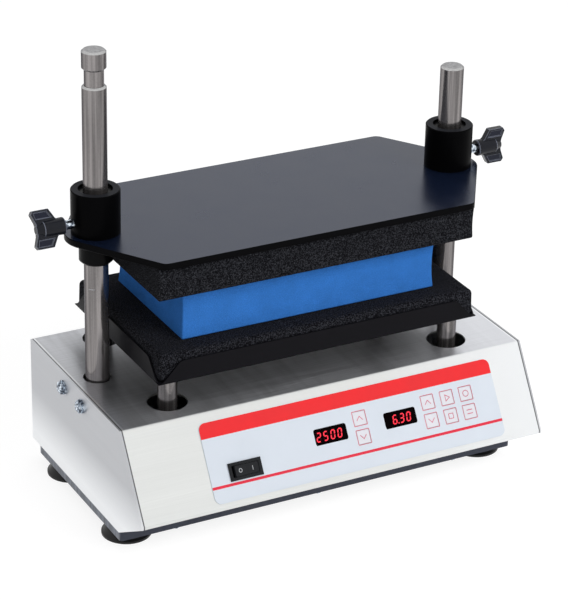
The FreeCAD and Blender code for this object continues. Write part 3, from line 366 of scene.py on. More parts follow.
# Painted highlight: a lighter colour for the knobs' bevelled edges
knob_edge_highlight = satin("knob_edge_highlight", (0.095, 0.105, 0.140), 0.30, grain=700.0, specular=0.6)
tray_black = satin("tray_black", (0.0042, 0.0040, 0.0056), 0.42, grain=800.0, depth=0.00005, specular=0.07)
rubber = satin("rubber", (0.006, 0.006, 0.007), 0.42, grain=500.0, depth=0.00005, specular=0.3)
motor_paint = satin("motor_paint", (0.02, 0.022, 0.026), 0.45)
overlay_film = satin("overlay_film", (0.655, 0.705, 0.775), 0.38, grain=2600.0, depth=0.000012,
                     specular=0.2, contrast=0.015)
overlay_red = satin("overlay_red", (0.80, 0.025, 0.030), 0.38, grain=2600.0, depth=0.000012,
                    specular=0.3, contrast=0.04)
overlay_line = satin("overlay_line", (0.72, 0.03, 0.06), 0.40, grain=2600.0, depth=0.000012,
                     specular=0.3, contrast=0.05)
key_film = satin("key_film", (0.715, 0.715, 0.765), 0.36, grain=2000.0, depth=0.000015,
                 specular=0.2, contrast=0.02)
key_ink = satin("key_ink", (0.60, 0.11, 0.18), 0.45, grain=2000.0, depth=0.00001, specular=0.2)
key_line = satin("key_line", (0.72, 0.10, 0.16), 0.45, grain=2000.0, depth=0.00001, specular=0.2)
display_black = satin("display_black", (0.0018, 0.0006, 0.0009), 0.18, grain=300.0, depth=0.000004,
                      specular=0.015)
digit_lit = glow("digit_lit", (0.66, 0.014, 0.034), 0.80)
digit_dark = satin("digit_dark", (0.030, 0.001, 0.003), 0.35, grain=600.0, specular=0.02)
switch_black = satin("switch_black", (0.009, 0.010, 0.012), 0.32, specular=0.2)
switch_mark = satin("switch_mark", (0.42, 0.43, 0.45), 0.45)
board_green = satin("board_green", (0.015, 0.12, 0.035), 0.35, grain=1200.0)
component_black = satin("component_black", (0.018, 0.018, 0.02), 0.4)
charcoal_foam = foam("charcoal_foam", (0.0032, 0.0034, 0.0045), (0.046, 0.048, 0.056), 950.0, light=0.9)
charcoal_foam_low = foam("charcoal_foam_low", (0.0034, 0.0034, 0.0046), (0.050, 0.052, 0.062), 900.0,
                         light=0.9)
blue_foam = foam("blue_foam", (0.040, 0.198, 0.625), (0.065, 0.24, 0.67), 1500.0, light=0.3, deep=0.85)
ground_steel = post_steel("ground_steel", (0.215, 0.200, 0.198))

# The finish of each CAD node; the nodes not named here are the membrane keys
FINISHES = {
    "base_plate": base_paint, "rubber_feet": rubber, "base_screws": zinc, "hood_cover": steel_hood,
    "left_side_panel": steel_side, "right_side_panel": steel_side, "rear_panel": steel_rear,
    "panel_screws": zinc, "left_post": ground_steel, "right_post": ground_steel,
    "left_post_block": aluminium, "right_post_block": aluminium, "post_block_bolts": zinc,
    "presser_plate": presser_edge, "presser_pad": charcoal_foam, "left_collar": collar_black,
    "right_collar": collar_black, "left_sleeve": sleeve_black, "right_sleeve": sleeve_black,
    "collar_screws": zinc, "left_clamp_screw": zinc, "right_clamp_screw": zinc,
    "left_wing_knob": knob_plastic, "right_wing_knob": knob_plastic, "tube_rack": blue_foam,
    "tray": tray_black, "tray_pad": charcoal_foam_low, "tray_posts": ground_steel, "tray_screws": zinc,
    "orbit_plate": aluminium, "plate_bearings": bearing_steel, "crankshaft": drive_steel,
    "counterweight": drive_steel, "left_idler": drive_steel, "right_idler": drive_steel,
    "idler_pedestals": aluminium, "fixed_bearings": bearing_steel, "motor_bracket": aluminium,
    "bracket_legs": aluminium, "motor": motor_paint, "control_overlay": overlay_film,
    "speed_display": display_black, "time_display": display_black, "controller_board": board_green,
    "board_standoffs": bearing_steel, "key_switches": component_black, "switch_frame": switch_black,
    "switch_rocker": switch_black, "power_inlet": switch_black, "fuse_holder": switch_black,
    "power_board": board_green, "power_components": component_black,
}
for name, node in nodes.items():
    for slot in node.material_slots:
        slot.material = FINISHES.get(name, key_film)


def bevel_edges(o, width, segments, angle, harden=True):
    """Rounded edges, by a modifier, where faces meet at more than angle degrees."""
    bevel = o.modifiers.new("edges", "BEVEL")
    bevel.width = width
    bevel.segments = segments
    bevel.limit_method = "ANGLE"
    bevel.angle_limit = math.radians(angle)
    bevel.harden_normals = harden
    return bevel


# Small rounded edges on rigid CAD nodes
SOFT_EDGES = {"base_plate": 0.0006, "tray": 0.0003, "switch_frame": 0.0003, "switch_rocker": 0.0004}
for name, width in SOFT_EDGES.items():
    weld = nodes[name].modifiers.new("weld", "WELD")
    weld.merge_threshold = 0.000002
    bevel_edges(nodes[name], width, 2, 32.0)


def piece(name, mesh, body, material, smooth=True):
    """A finished piece that rides on a body, in the material it is given."""
    for polygon in mesh.polygons:
        polygon.use_smooth = smooth
    mesh.materials.append(material)
    o = bpy.data.objects.new(name, mesh)
    scene.collection.objects.link(o)
    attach(o, body)
    return o


def mesh_of(name, bm):
    bmesh.ops.recalc_face_normals(bm, faces=bm.faces)
    mesh = bpy.data.meshes.new(name)
    bm.to_mesh(mesh)
    bm.free()
    return mesh


def join_rings(bm, first, second, material=0):
    """A closed band of faces between two rings of points."""
    count = len(first)
    for k in range(count):
        face = bm.faces.new((first[k], first[(k + 1) % count], second[(k + 1) % count], second[k]))
        face.material_index = material


def ring_edges(bm, ring):
    return [bm.edges.get((ring[k], ring[(k + 1) % len(ring)])) for k in range(len(ring))]


def circle(u, v, radius, steps=28, start=0.0):
    """Points anticlockwise round a circle, the first at the angle start."""
    angles = [start + 2 * math.pi * k / steps for k in range(steps)]
    return [(u + radius * math.cos(a), v + radius * math.sin(a)) for a in angles]


# Presser plate: satin broad faces, black edges with a fine bevel
PLATE_LOW, PLATE_HIGH, PLATE_BEVEL = 251.5, 257.5, 0.5
POST_X, POST_Y = 173.0, 25.0
SLEEVE_HOLE = 14.8
CORNER_X, CORNER_REACH, CORNER_RADIUS = 144.5, 78.5, 8.0
EAR_RADIUS = 27.0


def hull_outline(circles, inset, step):
    """Points anticlockwise round circles (x, y, radius), given in that order, each drawn in by inset."""
    normals = []
    for (x1, y1, r1), (x2, y2, r2) in zip(circles, circles[1:] + circles[:1]):
        heading = math.atan2(y2 - y1, x2 - x1)
        normals.append(heading - math.acos((r1 - r2) / math.hypot(x2 - x1, y2 - y1)))
    points = []
    for k, (x, y, r) in enumerate(circles):
        start, stop = normals[k - 1], normals[k]
        while stop < start:
            stop += 2 * math.pi
        count = max(2, round((stop - start) / step))
        for n in range(count + 1):
            a = start + (stop - start) * n / count
            points.append((x + (r - inset) * math.cos(a), y + (r - inset) * math.sin(a)))
    return points


def plate_mesh():
    right_end = [
        (CORNER_X, POST_Y - CORNER_REACH, CORNER_RADIUS),
        (POST_X, POST_Y, EAR_RADIUS),
        (CORNER_X, POST_Y + CORNER_REACH, CORNER_RADIUS),
    ]
    circles = right_end + [(-x, 2 * POST_Y - y, radius) for x, y, radius in right_end]
    levels = [
        (PLATE_LOW, PLATE_BEVEL), (PLATE_LOW + PLATE_BEVEL, 0.0),
        (PLATE_HIGH - PLATE_BEVEL, 0.0), (PLATE_HIGH, PLATE_BEVEL),
    ]
    bm = bmesh.new()

    def ring(points, z):
        return [bm.verts.new(Vector((x, y, z)) * MM) for x, y in points]

    walls = [[ring(hull_outline(circles, inset, math.radians(6.0)), z) for z, inset in levels]]
    for x in (-POST_X, POST_X):
        walls.append([ring(circle(x, POST_Y, SLEEVE_HOLE + inset, 48), z) for z, inset in levels])
    for rings in walls:
        for first, second in zip(rings, rings[1:]):
            join_rings(bm, first, second, material=1)
    for end in (0, -1):
        edges = [edge for rings in walls for edge in ring_edges(bm, rings[end])]
        bmesh.ops.triangle_fill(bm, edges=edges, use_beauty=True)
    return mesh_of("presser_deck", bm)


presser_deck = piece("presser_deck", plate_mesh(), "presser", presser_top, smooth=False)
presser_deck.data.materials.append(presser_edge)
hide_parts("presser_plate")


# Wing knobs: rimmed pockets in each wing, and a hub bored for the screw
KNOB_X, KNOB_Z = 202.2, 268.0
KNOB_HALF, KNOB_FLOOR = 3.0, 1.8
KNOB_STEPS = 40
WING = [
    (5.5, 6.4), (7.5, 8.0), (12.2, 16.5), (26.5, 16.5), (28.4, 13.5), (25.5, 5.5), (25.0, 1.0),
    (7.2, 1.0), (7.2, 6.4),
]
POCKET = [(11.0, 9.0), (14.2, 14.5), (26.0, 14.5), (24.6, 9.0)]
HUB = [(6.9, 4.2), (0.0, 4.2), (0.0, 6.9), (0.6, 7.5), (19.0, 7.0), (21.0, 5.6), (25.0, 4.2), (25.5, 3.7)]


def wing_knob(name, side, lean, node, body):
    """A knob outward from KNOB_X on one side; lean turns it about its own axis, top to the rear."""
    bm = bmesh.new()

    def corner(out, y, z):
        turned_y = y * math.cos(lean) + z * math.sin(lean)
        turned_z = z * math.cos(lean) - y * math.sin(lean)
        return bm.verts.new(Vector((side * (KNOB_X + out), POST_Y + turned_y, KNOB_Z + turned_z)) * MM)

    for way in (1, -1):
        faces = [[corner(out, y, way * rise) for out, rise in WING] for y in (-KNOB_HALF, KNOB_HALF)]
        join_rings(bm, faces[0], faces[1])
        for y, ring in zip((-1, 1), faces):
            rim = [corner(out, y * KNOB_HALF, way * rise) for out, rise in POCKET]
            floor = [corner(out, y * KNOB_FLOOR, way * rise) for out, rise in POCKET]
            join_rings(bm, rim, floor)
            bm.faces.new(floor).material_index = 1
            bmesh.ops.triangle_fill(bm, edges=ring_edges(bm, ring) + ring_edges(bm, rim), use_beauty=True)
    rings = [[corner(out, y, z) for y, z in circle(0.0, 0.0, radius, KNOB_STEPS)] for out, radius in HUB]
    for first, second in zip(rings, rings[1:]):
        join_rings(bm, first, second)
    for ring in (rings[0], rings[-1]):
        bm.faces.new(ring)
    knob = piece(name, mesh_of(name, bm), body, knob_plastic)
    knob.data.materials.append(knob_pocket)
    knob.data.materials.append(knob_edge_highlight)
    # The bevelled edges take the painted highlight colour
    bevel_edges(knob, 0.0006, 2, 30.0).material = 2
    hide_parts(node)


wing_knob("left_wings", -1, math.radians(25.0), "left_wing_knob", "left_thumbscrew")
wing_knob("right_wings", 1, 0.0, "right_wing_knob", "right_thumbscrew")


# Soft blocks, as closed lattices of faces
def spaced(low, high, edge, step):
    """Places from low to high: close together over edge at both ends, and about step apart between."""
    near = [low, low + edge * 0.12, low + edge * 0.35, low + edge * 0.65, low + edge]
    far = [low + high - x for x in reversed(near)]
    count = max(1, round((high - low - 2 * edge) / step))
    middle = [low + edge + (high - low - 2 * edge) * k / count for k in range(1, count)]
    return near + middle + far


def block_mesh(name, low, high, radius, step, mould):
    """A closed block with rounded edges; mould moves each point at the end."""
    axes = [spaced(low[k], high[k], radius, step) for k in range(3)]
    last = [len(a) - 1 for a in axes]
    bm = bmesh.new()
    made = {}

    def corner(*index):
        if index not in made:
            p = Vector(axes[k][index[k]] for k in range(3))
            core = Vector(min(max(p[k], low[k] + radius), high[k] - radius) for k in range(3))
            away = p - core
            if away.length > 1e-9:
                p = core + away.normalized() * radius
            made[index] = bm.verts.new(mould(p) * MM)
        return made[index]

    for k in range(3):
        i, j = (k + 1) % 3, (k + 2) % 3
        for side in (0, last[k]):
            for a in range(last[i]):
                for b in range(last[j]):
                    ring = []
                    for da, db in ((0, 0), (1, 0), (1, 1), (0, 1)):
                        index = [0, 0, 0]
                        index[k] = side
                        index[i] = a + da
                        index[j] = b + db
                        ring.append(corner(*index))
                    bm.faces.new(ring)
    return mesh_of(name, bm)


def lumps(p, size, amount, seed):
    """A smooth repeatable push of up to amount, by place."""
    q = Vector((p.x + seed * 31.7, p.y - seed * 17.3, p.z + seed * 11.1)) / size
    return noise.noise(q) * amount


def pad_box(node, gap):
    """The box of a CAD node in millimetres, drawn in by gap."""
    low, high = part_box(node)
    return low / MM + Vector((gap, gap, gap)), high / MM - Vector((gap, gap, gap))


PAD_GAP = 0.15
UPPER_LOW, UPPER_HIGH = pad_box("presser_pad", PAD_GAP)
LOWER_LOW, LOWER_HIGH = pad_box("tray_pad", PAD_GAP)
FOAM_STEP = 5.0


def drawn_in(value, middle, limit, margin, amount):
    """The push inward of a place on one axis where it lies within margin of the limit on either side."""
    if abs(value - middle) <= limit - middle - margin:
        return 0.0
    return -math.copysign(amount, value - middle)


# The upper foam's sides draw in by UPPER_WAIST at half height, and its underside is a little uneven
UPPER_ROUND, UPPER_EDGE, UPPER_WAIST = 2.2, 2.8, 0.6
UNDERSIDE = 15.0


def upper_foam(p):
    waist = UPPER_WAIST * math.sin(math.pi * (p.z - UPPER_LOW.z) / (UPPER_HIGH.z - UPPER_LOW.z))
    x = drawn_in(p.x, 0.0, UPPER_HIGH.x, UPPER_EDGE, waist) + lumps(p, 22.0, 0.1, 2)
    y = drawn_in(p.y, POST_Y, UPPER_HIGH.y, UPPER_EDGE, waist) + lumps(p, 20.0, 0.1, 3)
    z = 0.0 if p.z > UPPER_LOW.z + UNDERSIDE else abs(lumps(p, 30.0, 0.25, 1))
    return Vector((p.x + x, p.y + y, p.z + z))


upper_mesh = block_mesh("presser_foam", UPPER_LOW, UPPER_HIGH, UPPER_ROUND, FOAM_STEP, upper_foam)
presser_foam = piece("presser_foam", upper_mesh, "presser", charcoal_foam)
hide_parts("presser_pad")

# The lower foam draws in by LOWER_WAIST towards its top, which is a little uneven
LOWER_ROUND, LOWER_EDGE, LOWER_WAIST = 4.5, 4.0, 0.5


def lower_foam(p):
    high = (p.z - LOWER_LOW.z) / (LOWER_HIGH.z - LOWER_LOW.z)
    x = drawn_in(p.x, 0.0, LOWER_HIGH.x, LOWER_EDGE, LOWER_WAIST * high)
    y = drawn_in(p.y, POST_Y, LOWER_HIGH.y, LOWER_EDGE, LOWER_WAIST * high) + lumps(p, 25.0, 0.2, 5)
    z = -abs(lumps(p, 40.0, 0.5, 4)) * high
    return Vector((p.x + x, p.y + y, p.z + z))


lower_mesh = block_mesh("tray_foam", LOWER_LOW, LOWER_HIGH, LOWER_ROUND, FOAM_STEP, lower_foam)
tray_foam = piece("tray_foam", lower_mesh, "orbit_carriage", charcoal_foam_low)
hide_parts("tray_pad")


# Blue rack block with its fifteen wells, each in its own cell of the block
RACK_GAP = 0.05
RACK_LOW, RACK_HIGH = pad_box("tube_rack", RACK_GAP)
WELL_COLUMNS, WELL_ROWS = 5, 3
WELL_PITCH = (47.0, 41.0)
WELL_RADIUS, WELL_MOUTH, WELL_CENTRE = 14.5, 1.2, 7.0
WELL_DEPTHS = (1.2, 8.0, 16.0, 24.0, 32.0, 39.9)
WALL_HEIGHTS = (0.0, 0.03, 0.12, 0.25, 0.4, 0.55, 0.7, 0.85, 0.96, 1.0)
WALL_WAIST = 1.5
SIDE_STEPS = 8
CORNER_ANGLE = -0.75 * math.pi


def rack_mesh():
    bm = bmesh.new()
    made = {}

    def vert(x, y, z):
        key = (round(x, 3), round(y, 3), round(z, 3))
        if key not in made:
            made[key] = bm.verts.new((x, y, z))
        return made[key]

    xs = [RACK_LOW.x] + [WELL_PITCH[0] * (k - 1.5) for k in range(WELL_COLUMNS - 1)] + [RACK_HIGH.x]
    ys = [RACK_LOW.y] + [POST_Y + WELL_PITCH[1] * (k - 0.5) for k in range(WELL_ROWS - 1)] + [RACK_HIGH.y]

    def frame_points(i, j):
        """Points round one cell, anticlockwise from its lower left corner."""
        corners = [(xs[i], ys[j]), (xs[i + 1], ys[j]), (xs[i + 1], ys[j + 1]), (xs[i], ys[j + 1])]
        out = []
        for (x0, y0), (x1, y1) in zip(corners, corners[1:] + corners[:1]):
            for k in range(SIDE_STEPS):
                out.append((x0 + (x1 - x0) * k / SIDE_STEPS, y0 + (y1 - y0) * k / SIDE_STEPS))
        return out

    def ring(points, z):
        return [vert(x, y, z) for x, y in points]

    def between(first, second):
        return (first[0] + second[0]) / 2, (first[1] + second[1]) / 2

    for i in range(WELL_COLUMNS):
        for j in range(WELL_ROWS):
            centre = (WELL_PITCH[0] * (i - 2), POST_Y + WELL_PITCH[1] * (j - 1))
            edge = frame_points(i, j)
            rim, wide, middle = [
                circle(*centre, radius, len(edge), CORNER_ANGLE)
                for radius in (WELL_RADIUS, WELL_RADIUS + WELL_MOUTH, WELL_CENTRE)
            ]
            half_way = [between(a, b) for a, b in zip(edge, wide)]
            rings = [ring(points, RACK_HIGH.z) for points in (edge, half_way, wide)]
            rings += [ring(rim, RACK_HIGH.z - depth) for depth in WELL_DEPTHS]
            rings.append(ring(middle, RACK_HIGH.z - WELL_DEPTHS[-1]))
            for first, second in zip(rings, rings[1:]):
                join_rings(bm, first, second)
            bm.faces.new(rings[-1])
            outer = ring(edge, RACK_LOW.z)
            inner = ring([between(point, centre) for point in edge], RACK_LOW.z)
            join_rings(bm, outer, inner)
            bm.faces.new(inner)

    # The border follows each side of the block in turn, by the cells along that side
    columns, rows = range(WELL_COLUMNS), range(WELL_ROWS)
    sides = [
        [(i, 0) for i in columns], [(WELL_COLUMNS - 1, j) for j in rows],
        [(i, WELL_ROWS - 1) for i in reversed(columns)], [(0, j) for j in reversed(rows)],
    ]
    border = []
    for side, cells in enumerate(sides):
        for i, j in cells:
            border += frame_points(i, j)[side * SIDE_STEPS:(side + 1) * SIDE_STEPS]
    walls = [ring(border, RACK_LOW.z + (RACK_HIGH.z - RACK_LOW.z) * t) for t in WALL_HEIGHTS]
    for first, second in zip(walls, walls[1:]):
        join_rings(bm, first, second)

    for v in bm.verts:
        rise = (v.co.z - RACK_LOW.z) / (RACK_HIGH.z - RACK_LOW.z)
        waist = WALL_WAIST * math.sin(math.pi * rise) ** 0.8 if 0.0 < rise < 1.0 else 0.0
        on_x = abs(abs(v.co.x) - RACK_HIGH.x) < 0.01
        on_y = min(abs(v.co.y - RACK_LOW.y), abs(v.co.y - RACK_HIGH.y)) < 0.01
        if on_x:
            v.co.x -= math.copysign(waist, v.co.x)
        if on_y:
            v.co.y -= math.copysign(waist, v.co.y - POST_Y)
        v.co *= MM
    return mesh_of("rack_block", bm)


rack_block = piece("rack_block", rack_mesh(), "rack", blue_foam)
bevel_edges(rack_block, 0.0012, 3, 50.0, harden=False)
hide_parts("tube_rack")


# Control face: u to the right, v down the slope from its top edge, w out of the face, in millimetres
SLOPE = math.radians(57.85)
FACE_Y, FACE_Z = -73.5, 119.0


def on_face(u, v, w):
    y = FACE_Y - v * math.cos(SLOPE) - w * math.sin(SLOPE)
    z = FACE_Z - v * math.sin(SLOPE) + w * math.cos(SLOPE)
    return Vector((u, y, z)) * MM


def rounded(u0, v0, u1, v1, radius, steps=6):
    """A rectangle with round corners, as points."""
    left, right, top, bottom = u0 + radius, u1 - radius, v0 + radius, v1 - radius
    out = []
    for quarter, (u, v) in enumerate(((right, bottom), (left, bottom), (left, top), (right, top))):
        for k in range(steps + 1):
            a = math.radians(90.0 * quarter + 90.0 * k / steps)
            out.append((u + radius * math.cos(a), v + radius * math.sin(a)))
    return out


def square(half, radius, steps=6):
    return rounded(-half, -half, half, half, radius, steps)


def moved(outline, u, v):
    return [(x + u, y + v) for x, y in outline]


def raise_shape(bm, outline, low, high, place):
    """A closed flat plate of that outline, from low to high above the face."""
    bottom, top = [[bm.verts.new(place(u, v, w)) for u, v in outline] for w in (low, high)]
    bm.faces.new(bottom)
    bm.faces.new(top)
    join_rings(bm, bottom, top)


def raise_ring(bm, outer, inner, low, high, place):
    """A closed flat ring between two outlines that have the same number of points."""
    loops = []
    for line, w in ((outer, low), (outer, high), (inner, high), (inner, low)):
        loops.append([bm.verts.new(place(u, v, w)) for u, v in line])
    for first, second in zip(loops, loops[1:] + loops[:1]):
        join_rings(bm, first, second)


def face_piece(name, shapes, rings, low, high, body, material, place=on_face):
    """Plates and rings of one material, from low to high above the face, as one piece."""
    bm = bmesh.new()
    for outline in shapes:
        raise_shape(bm, outline, low, high, place)
    for outer, inner in rings:
        raise_ring(bm, outer, inner, low, high, place)
    return piece(name, mesh_of(name, bm), body, material, smooth=False)


# Printed areas of the overlay
OVERLAY_TOP = 0.8
INK_TOP = OVERLAY_TOP + 0.06
LEFT, RIGHT, TOP, CORNER = -127.5, 160.0, 9.0, 6.0
BAND_BOTTOM = 22.5
RULE_TOP, RULE_BOTTOM = 63.9, 66.3
red_band = [(RIGHT, BAND_BOTTOM), (LEFT, BAND_BOTTOM)]
for centre, start in ((LEFT + CORNER, 180), (RIGHT - CORNER, 270)):
    for degrees in range(start, start + 91, 15):
        a = math.radians(degrees)
        red_band.append((centre + CORNER * math.cos(a), TOP + CORNER + CORNER * math.sin(a)))
face_piece("overlay_band", [red_band], [], OVERLAY_TOP, INK_TOP, "chassis", overlay_red)
rule = [(LEFT, RULE_TOP), (RIGHT, RULE_TOP), (RIGHT, RULE_BOTTOM), (LEFT, RULE_BOTTOM)]
face_piece("overlay_rule", [rule], [], OVERLAY_TOP, INK_TOP, "chassis", overlay_line)

# Key outlines, and a plain symbol on each key, set out from the key's middle
KEY_COLUMNS = {"speed": 22.3, "time": 91.0, "run": 110.7, "mode": 130.0}
KEY_ROWS = {"up": 35.0, "down": 51.5}
KEYS = {f"key_{column}_{row}": (u, v) for column, u in KEY_COLUMNS.items() for row, v in KEY_ROWS.items()}
outlines = [(moved(square(6.65, 0.8), *place), moved(square(6.2, 0.5), *place)) for place in KEYS.values()]
face_piece("key_outlines", [], outlines, OVERLAY_TOP, INK_TOP, "chassis", key_line)


def chevron(v, up, half=3.0, rise=3.6, thick=0.9):
    """An arrow head about the key's middle line: up is 1 or -1."""
    upper = [(-half, v + up * rise / 2), (0.0, v - up * rise / 2), (half, v + up * rise / 2)]
    lower = [(u, w + up * thick) for u, w in reversed(upper)]
    return upper + lower


arrow_up, arrow_down = chevron(-0.4, 1), chevron(0.4, -1)
triangle = [(-1.8, -3.3), (3.3, 0.0), (-1.8, 3.3)]
triangle_hole = [(-1.2, -2.2), (2.2, 0.0), (-1.2, 2.2)]
bars = [rounded(-2.8, v, 2.8, v + 0.7, 0.2, 2) for v in (-2.0, 1.3)]
symbols = {
    "key_speed_up": ([arrow_up], []),
    "key_speed_down": ([arrow_down], []),
    "key_time_up": ([arrow_up], []),
    "key_time_down": ([arrow_down], []),
    "key_run_up": ([], [(triangle, triangle_hole)]),
    "key_run_down": ([], [(square(2.5, 0.3, 2), square(1.9, 0.2, 2))]),
    "key_mode_up": ([], [(circle(0.0, 0.0, 3.0), circle(0.0, 0.0, 2.4))]),
    "key_mode_down": (bars, []),
}
for key, (shapes, rings) in symbols.items():
    shapes = [moved(shape, *KEYS[key]) for shape in shapes]
    rings = [(moved(outer, *KEYS[key]), moved(inner, *KEYS[key])) for outer, inner in rings]
    face_piece(key + "_symbol", shapes, rings, OVERLAY_TOP, INK_TOP, key, key_ink)


# Seven-segment digits, which lean to the right
LIT = {"0": "abcdef", "2": "abged", "3": "abgcd", "5": "afgcd", "6": "afgedc"}
DIGIT_HALF_WIDTH, DIGIT_HALF_HEIGHT = 1.7, 3.7
SEGMENT_WIDTH, SEGMENT_GAP = 1.1, 0.15
LEAN = 0.14


def segment(u0, v0, u1, v1):
    """A bar with pointed ends from one place to another, level or upright."""
    h = SEGMENT_WIDTH / 2
    if v0 == v1:
        return [(u0, v0), (u0 + h, v0 - h), (u1 - h, v0 - h), (u1, v0), (u1 - h, v0 + h), (u0 + h, v0 + h)]
    return [(u0, v0), (u0 + h, v0 + h), (u0 + h, v1 - h), (u0, v1), (u0 - h, v1 - h), (u0 - h, v0 + h)]


def digit(u, v, code):
    """The lit and the dark segments of one digit whose middle is at u, v."""
    gap, a, b = SEGMENT_GAP, DIGIT_HALF_WIDTH, DIGIT_HALF_HEIGHT
    lines = {
        "a": (-a + gap, -b, a - gap, -b), "g": (-a + gap, 0, a - gap, 0), "d": (-a + gap, b, a - gap, b),
        "f": (-a, -b + gap, -a, -gap), "b": (a, -b + gap, a, -gap),
        "e": (-a, gap, -a, b - gap), "c": (a, gap, a, b - gap),
    }
    lit, dark = [], []
    for key, line in lines.items():
        shape = [(u + x - LEAN * y, v + y) for x, y in segment(*line)]
        (lit if key in LIT[code] else dark).append(shape)
    return lit, dark


# Each display: its middle, its window and the bezel round it, as rounded rectangles about the middle
SPEED_U, TIME_U, DISPLAY_V = -8.1, 61.2, 43.2
BEZEL = (-15.9, -7.4, 15.8, 6.9, 2.0)
WINDOW = (-14.7, -6.2, 14.7, 6.2, 1.4)
DISPLAY_TOP, DARK_TOP, LIT_TOP, BEZEL_TOP = 0.5, 0.53, 0.56, 0.92


def readout(name, u, v, marks, point=None):
    """The digits of one display: marks are (offset, code), and point is the offset of a decimal point."""
    lit, dark = [], []
    for offset, code in marks:
        on, off = digit(u + offset, v, code)
        lit += on
        dark += off
    if point is not None:
        lit.append(circle(u + point, v + DIGIT_HALF_HEIGHT, 0.6, 12))
    face_piece(name + "_lit", lit, [], DISPLAY_TOP, LIT_TOP, "chassis", digit_lit)
    face_piece(name + "_dark", dark, [], DISPLAY_TOP, DARK_TOP, "chassis", digit_dark)
    ring = [(moved(rounded(*BEZEL), u, v), moved(rounded(*WINDOW), u, v))]
    face_piece(name + "_bezel", [], ring, OVERLAY_TOP, BEZEL_TOP, "chassis", display_black)


readout("speed_digits", SPEED_U, DISPLAY_V, [(-11.7, "2"), (-4.9, "5"), (2.1, "0"), (8.9, "0")])
readout("time_digits", TIME_U, DISPLAY_V, [(-5.3, "6"), (1.7, "3"), (8.4, "0")], point=-2.2)

# Marks on the rocker
SWITCH_U, SWITCH_V = -94.0, 54.9
ROCKER_TILT = math.radians(8.0)
ROCKER_AXIS = 1.5
ROCKER_HALF = 11.8
ROCKER_TOP, ROCKER_RISE = 2.0, 1.2


def on_rocker(u, v, w):
    """u and v from the middle of the rocker, w above its top."""
    top = ROCKER_TOP + ROCKER_RISE * abs(u) / ROCKER_HALF + w + ROCKER_AXIS
    turned_u = u * math.cos(ROCKER_TILT) + top * math.sin(ROCKER_TILT)
    turned_w = top * math.cos(ROCKER_TILT) - u * math.sin(ROCKER_TILT)
    return on_face(SWITCH_U + turned_u, SWITCH_V + v, turned_w - ROCKER_AXIS)


off_ring = (circle(-6.3, 0.0, 1.9), circle(-6.3, 0.0, 1.25))
on_bar = [(5.9, -1.9), (6.5, -1.9), (6.5, 1.9), (5.9, 1.9)]
MARK_LOW, MARK_HIGH = -0.02, 0.06
face_piece("rocker_marks", [on_bar], [off_ring], MARK_LOW, MARK_HIGH, "rocker", switch_mark,
           on_rocker)


# Screw heads under the front edge
SCREW_PLACES = [(-141.0, -65.5, 10.0), (-2.0, -65.5, 10.0), (137.0, -65.5, 10.0)]
SCREW_HEAD = [(0.0, -2.4), (1.6, -2.3), (2.9, -1.8), (3.6, -0.9), (3.8, 0.2), (0.0, 0.2)]


def lathe(bm, place, outline, steps=24):
    """A closed turned solid about an upright axis; outline is (radius, height), both ends on the axis."""
    x, y, z = place
    rings = []
    for radius, height in outline:
        points = circle(x, y, radius, steps) if radius > 0.0 else [(x, y)]
        rings.append([bm.verts.new(Vector((px, py, z + height)) * MM) for px, py in points])
    for first, second in zip(rings, rings[1:]):
        for k in range(steps):
            a, b = first[k % len(first)], first[(k + 1) % len(first)]
            c, d = second[(k + 1) % len(second)], second[k % len(second)]
            corners = [a, b, c, d]
            bm.faces.new([v for n, v in enumerate(corners) if v not in corners[:n]])


bm = bmesh.new()
for place in SCREW_PLACES:
    lathe(bm, place, SCREW_HEAD)
piece("front_screw_heads", mesh_of("front_screw_heads", bm), "chassis", zinc)

# Scribed tick on the left post, a little to the left of the side that faces the camera
TICK_INNER, TICK_OUTER = 10.45, 10.56
TICK_LOW, TICK_HIGH = 206.6, 207.5
TICK_STEPS = 8
tick_start = math.atan2(-math.cos(AZIMUTH), math.sin(AZIMUTH)) - math.radians(34.0)
bm = bmesh.new()
loops = []
for radius, height in (
    (TICK_INNER, TICK_LOW), (TICK_OUTER, TICK_LOW), (TICK_OUTER, TICK_HIGH), (TICK_INNER, TICK_HIGH),
):
    angles = [tick_start + math.radians(4.0 * k) for k in range(TICK_STEPS + 1)]
    points = [(-POST_X + radius * math.cos(a), POST_Y + radius * math.sin(a), height) for a in angles]
    loops.append([bm.verts.new(Vector(point) * MM) for point in points])
for first, second in zip(loops, loops[1:] + loops[:1]):
    for k in range(TICK_STEPS):
        bm.faces.new((first[k], first[k + 1], second[k + 1], second[k]))
for end in (0, -1):
    bm.faces.new([loop[end] for loop in loops])
piece("post_tick", mesh_of("post_tick", bm), "chassis", drive_steel)


# Floor and world: white to the camera and in reflections, and of moderate light on the object
FLOOR_HALF = 10.0
FLOOR_GREY, FLOOR_GLOW, FLOOR_SHADED = 0.82, 0.845, 0.24
WORLD_LIGHT, WORLD_SEEN = 0.336, 1.0


def grey_shader(tree, kind, grey, strength=None):
    """A shader of one grey, with a strength where it gives light."""
    node = tree.nodes.new(kind)
    node.inputs["Color"].default_value = (grey, grey, grey, 1.0)
    if strength is not None:
        node.inputs["Strength"].default_value = strength
    return node.outputs[0]


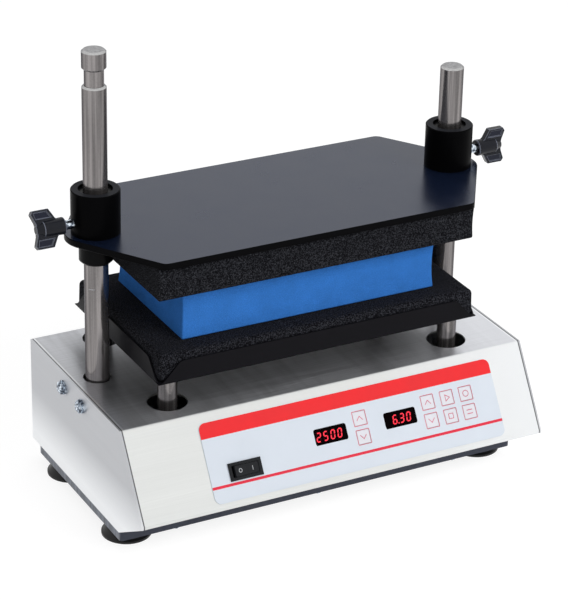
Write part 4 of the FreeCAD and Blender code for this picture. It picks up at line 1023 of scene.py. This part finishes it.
def split_by_ray(tree, unseen, seen, out):
    """Camera, glossy and transmission rays meet the shader seen, and all others the shader unseen."""
    paths = tree.nodes.new("ShaderNodeLightPath")
    factor = paths.outputs["Is Camera Ray"]
    for ray in ("Is Glossy Ray", "Is Transmission Ray"):
        either = tree.nodes.new("ShaderNodeMath")
        either.operation = "MAXIMUM"
        tree.links.new(factor, either.inputs[0])
        tree.links.new(paths.outputs[ray], either.inputs[1])
        factor = either.outputs[0]
    mix = tree.nodes.new("ShaderNodeMixShader")
    for socket, source in zip(mix.inputs, (factor, unseen, seen)):
        tree.links.new(source, socket)
    tree.links.new(mix.outputs[0], out.inputs["Surface"])


def floor_material():
    """A glow with a little diffuse light over it keeps the object's shadow in a white floor."""
    material = bpy.data.materials.new("floor")
    material.use_nodes = True
    tree = material.node_tree
    tree.nodes.clear()
    both = tree.nodes.new("ShaderNodeAddShader")
    tree.links.new(grey_shader(tree, "ShaderNodeEmission", 1.0, FLOOR_GLOW), both.inputs[0])
    tree.links.new(grey_shader(tree, "ShaderNodeBsdfDiffuse", FLOOR_SHADED), both.inputs[1])
    plain = grey_shader(tree, "ShaderNodeBsdfDiffuse", FLOOR_GREY)
    split_by_ray(tree, plain, both.outputs[0], tree.nodes.new("ShaderNodeOutputMaterial"))
    return material


floor_mesh = bpy.data.meshes.new("floor")
floor_corners = [(x * FLOOR_HALF, y * FLOOR_HALF, 0.0) for x, y in ((-1, -1), (1, -1), (1, 1), (-1, 1))]
floor_mesh.from_pydata(floor_corners, [], [(0, 1, 2, 3)])
floor_mesh.materials.append(floor_material())
floor = bpy.data.objects.new("floor", floor_mesh)
scene.collection.objects.link(floor)

world = bpy.data.worlds.new("world")
scene.world = world
world.use_nodes = True
world.node_tree.nodes.clear()
split_by_ray(
    world.node_tree,
    grey_shader(world.node_tree, "ShaderNodeBackground", 1.0, WORLD_LIGHT),
    grey_shader(world.node_tree, "ShaderNodeBackground", 1.0, WORLD_SEEN),
    world.node_tree.nodes.new("ShaderNodeOutputWorld"),
)

LAMPS_AIM = Vector((0.0, 0.0, 0.18))


def lamp(name, place, size, power):
    data = bpy.data.lights.new(name, "AREA")
    data.shape = "SQUARE"
    data.size = size
    data.energy = power
    o = bpy.data.objects.new(name, data)
    o.location = place
    o.rotation_euler = (LAMPS_AIM - Vector(place)).to_track_quat("-Z", "Y").to_euler()
    o.visible_glossy = False
    scene.collection.objects.link(o)


lamp("key", (1.1, -2.4, 1.9), 1.6, 62.0)
lamp("fill", (-2.2, -1.4, 2.2), 1.8, 14.0)
lamp("top", (0.2, 0.9, 2.8), 1.8, 22.0)
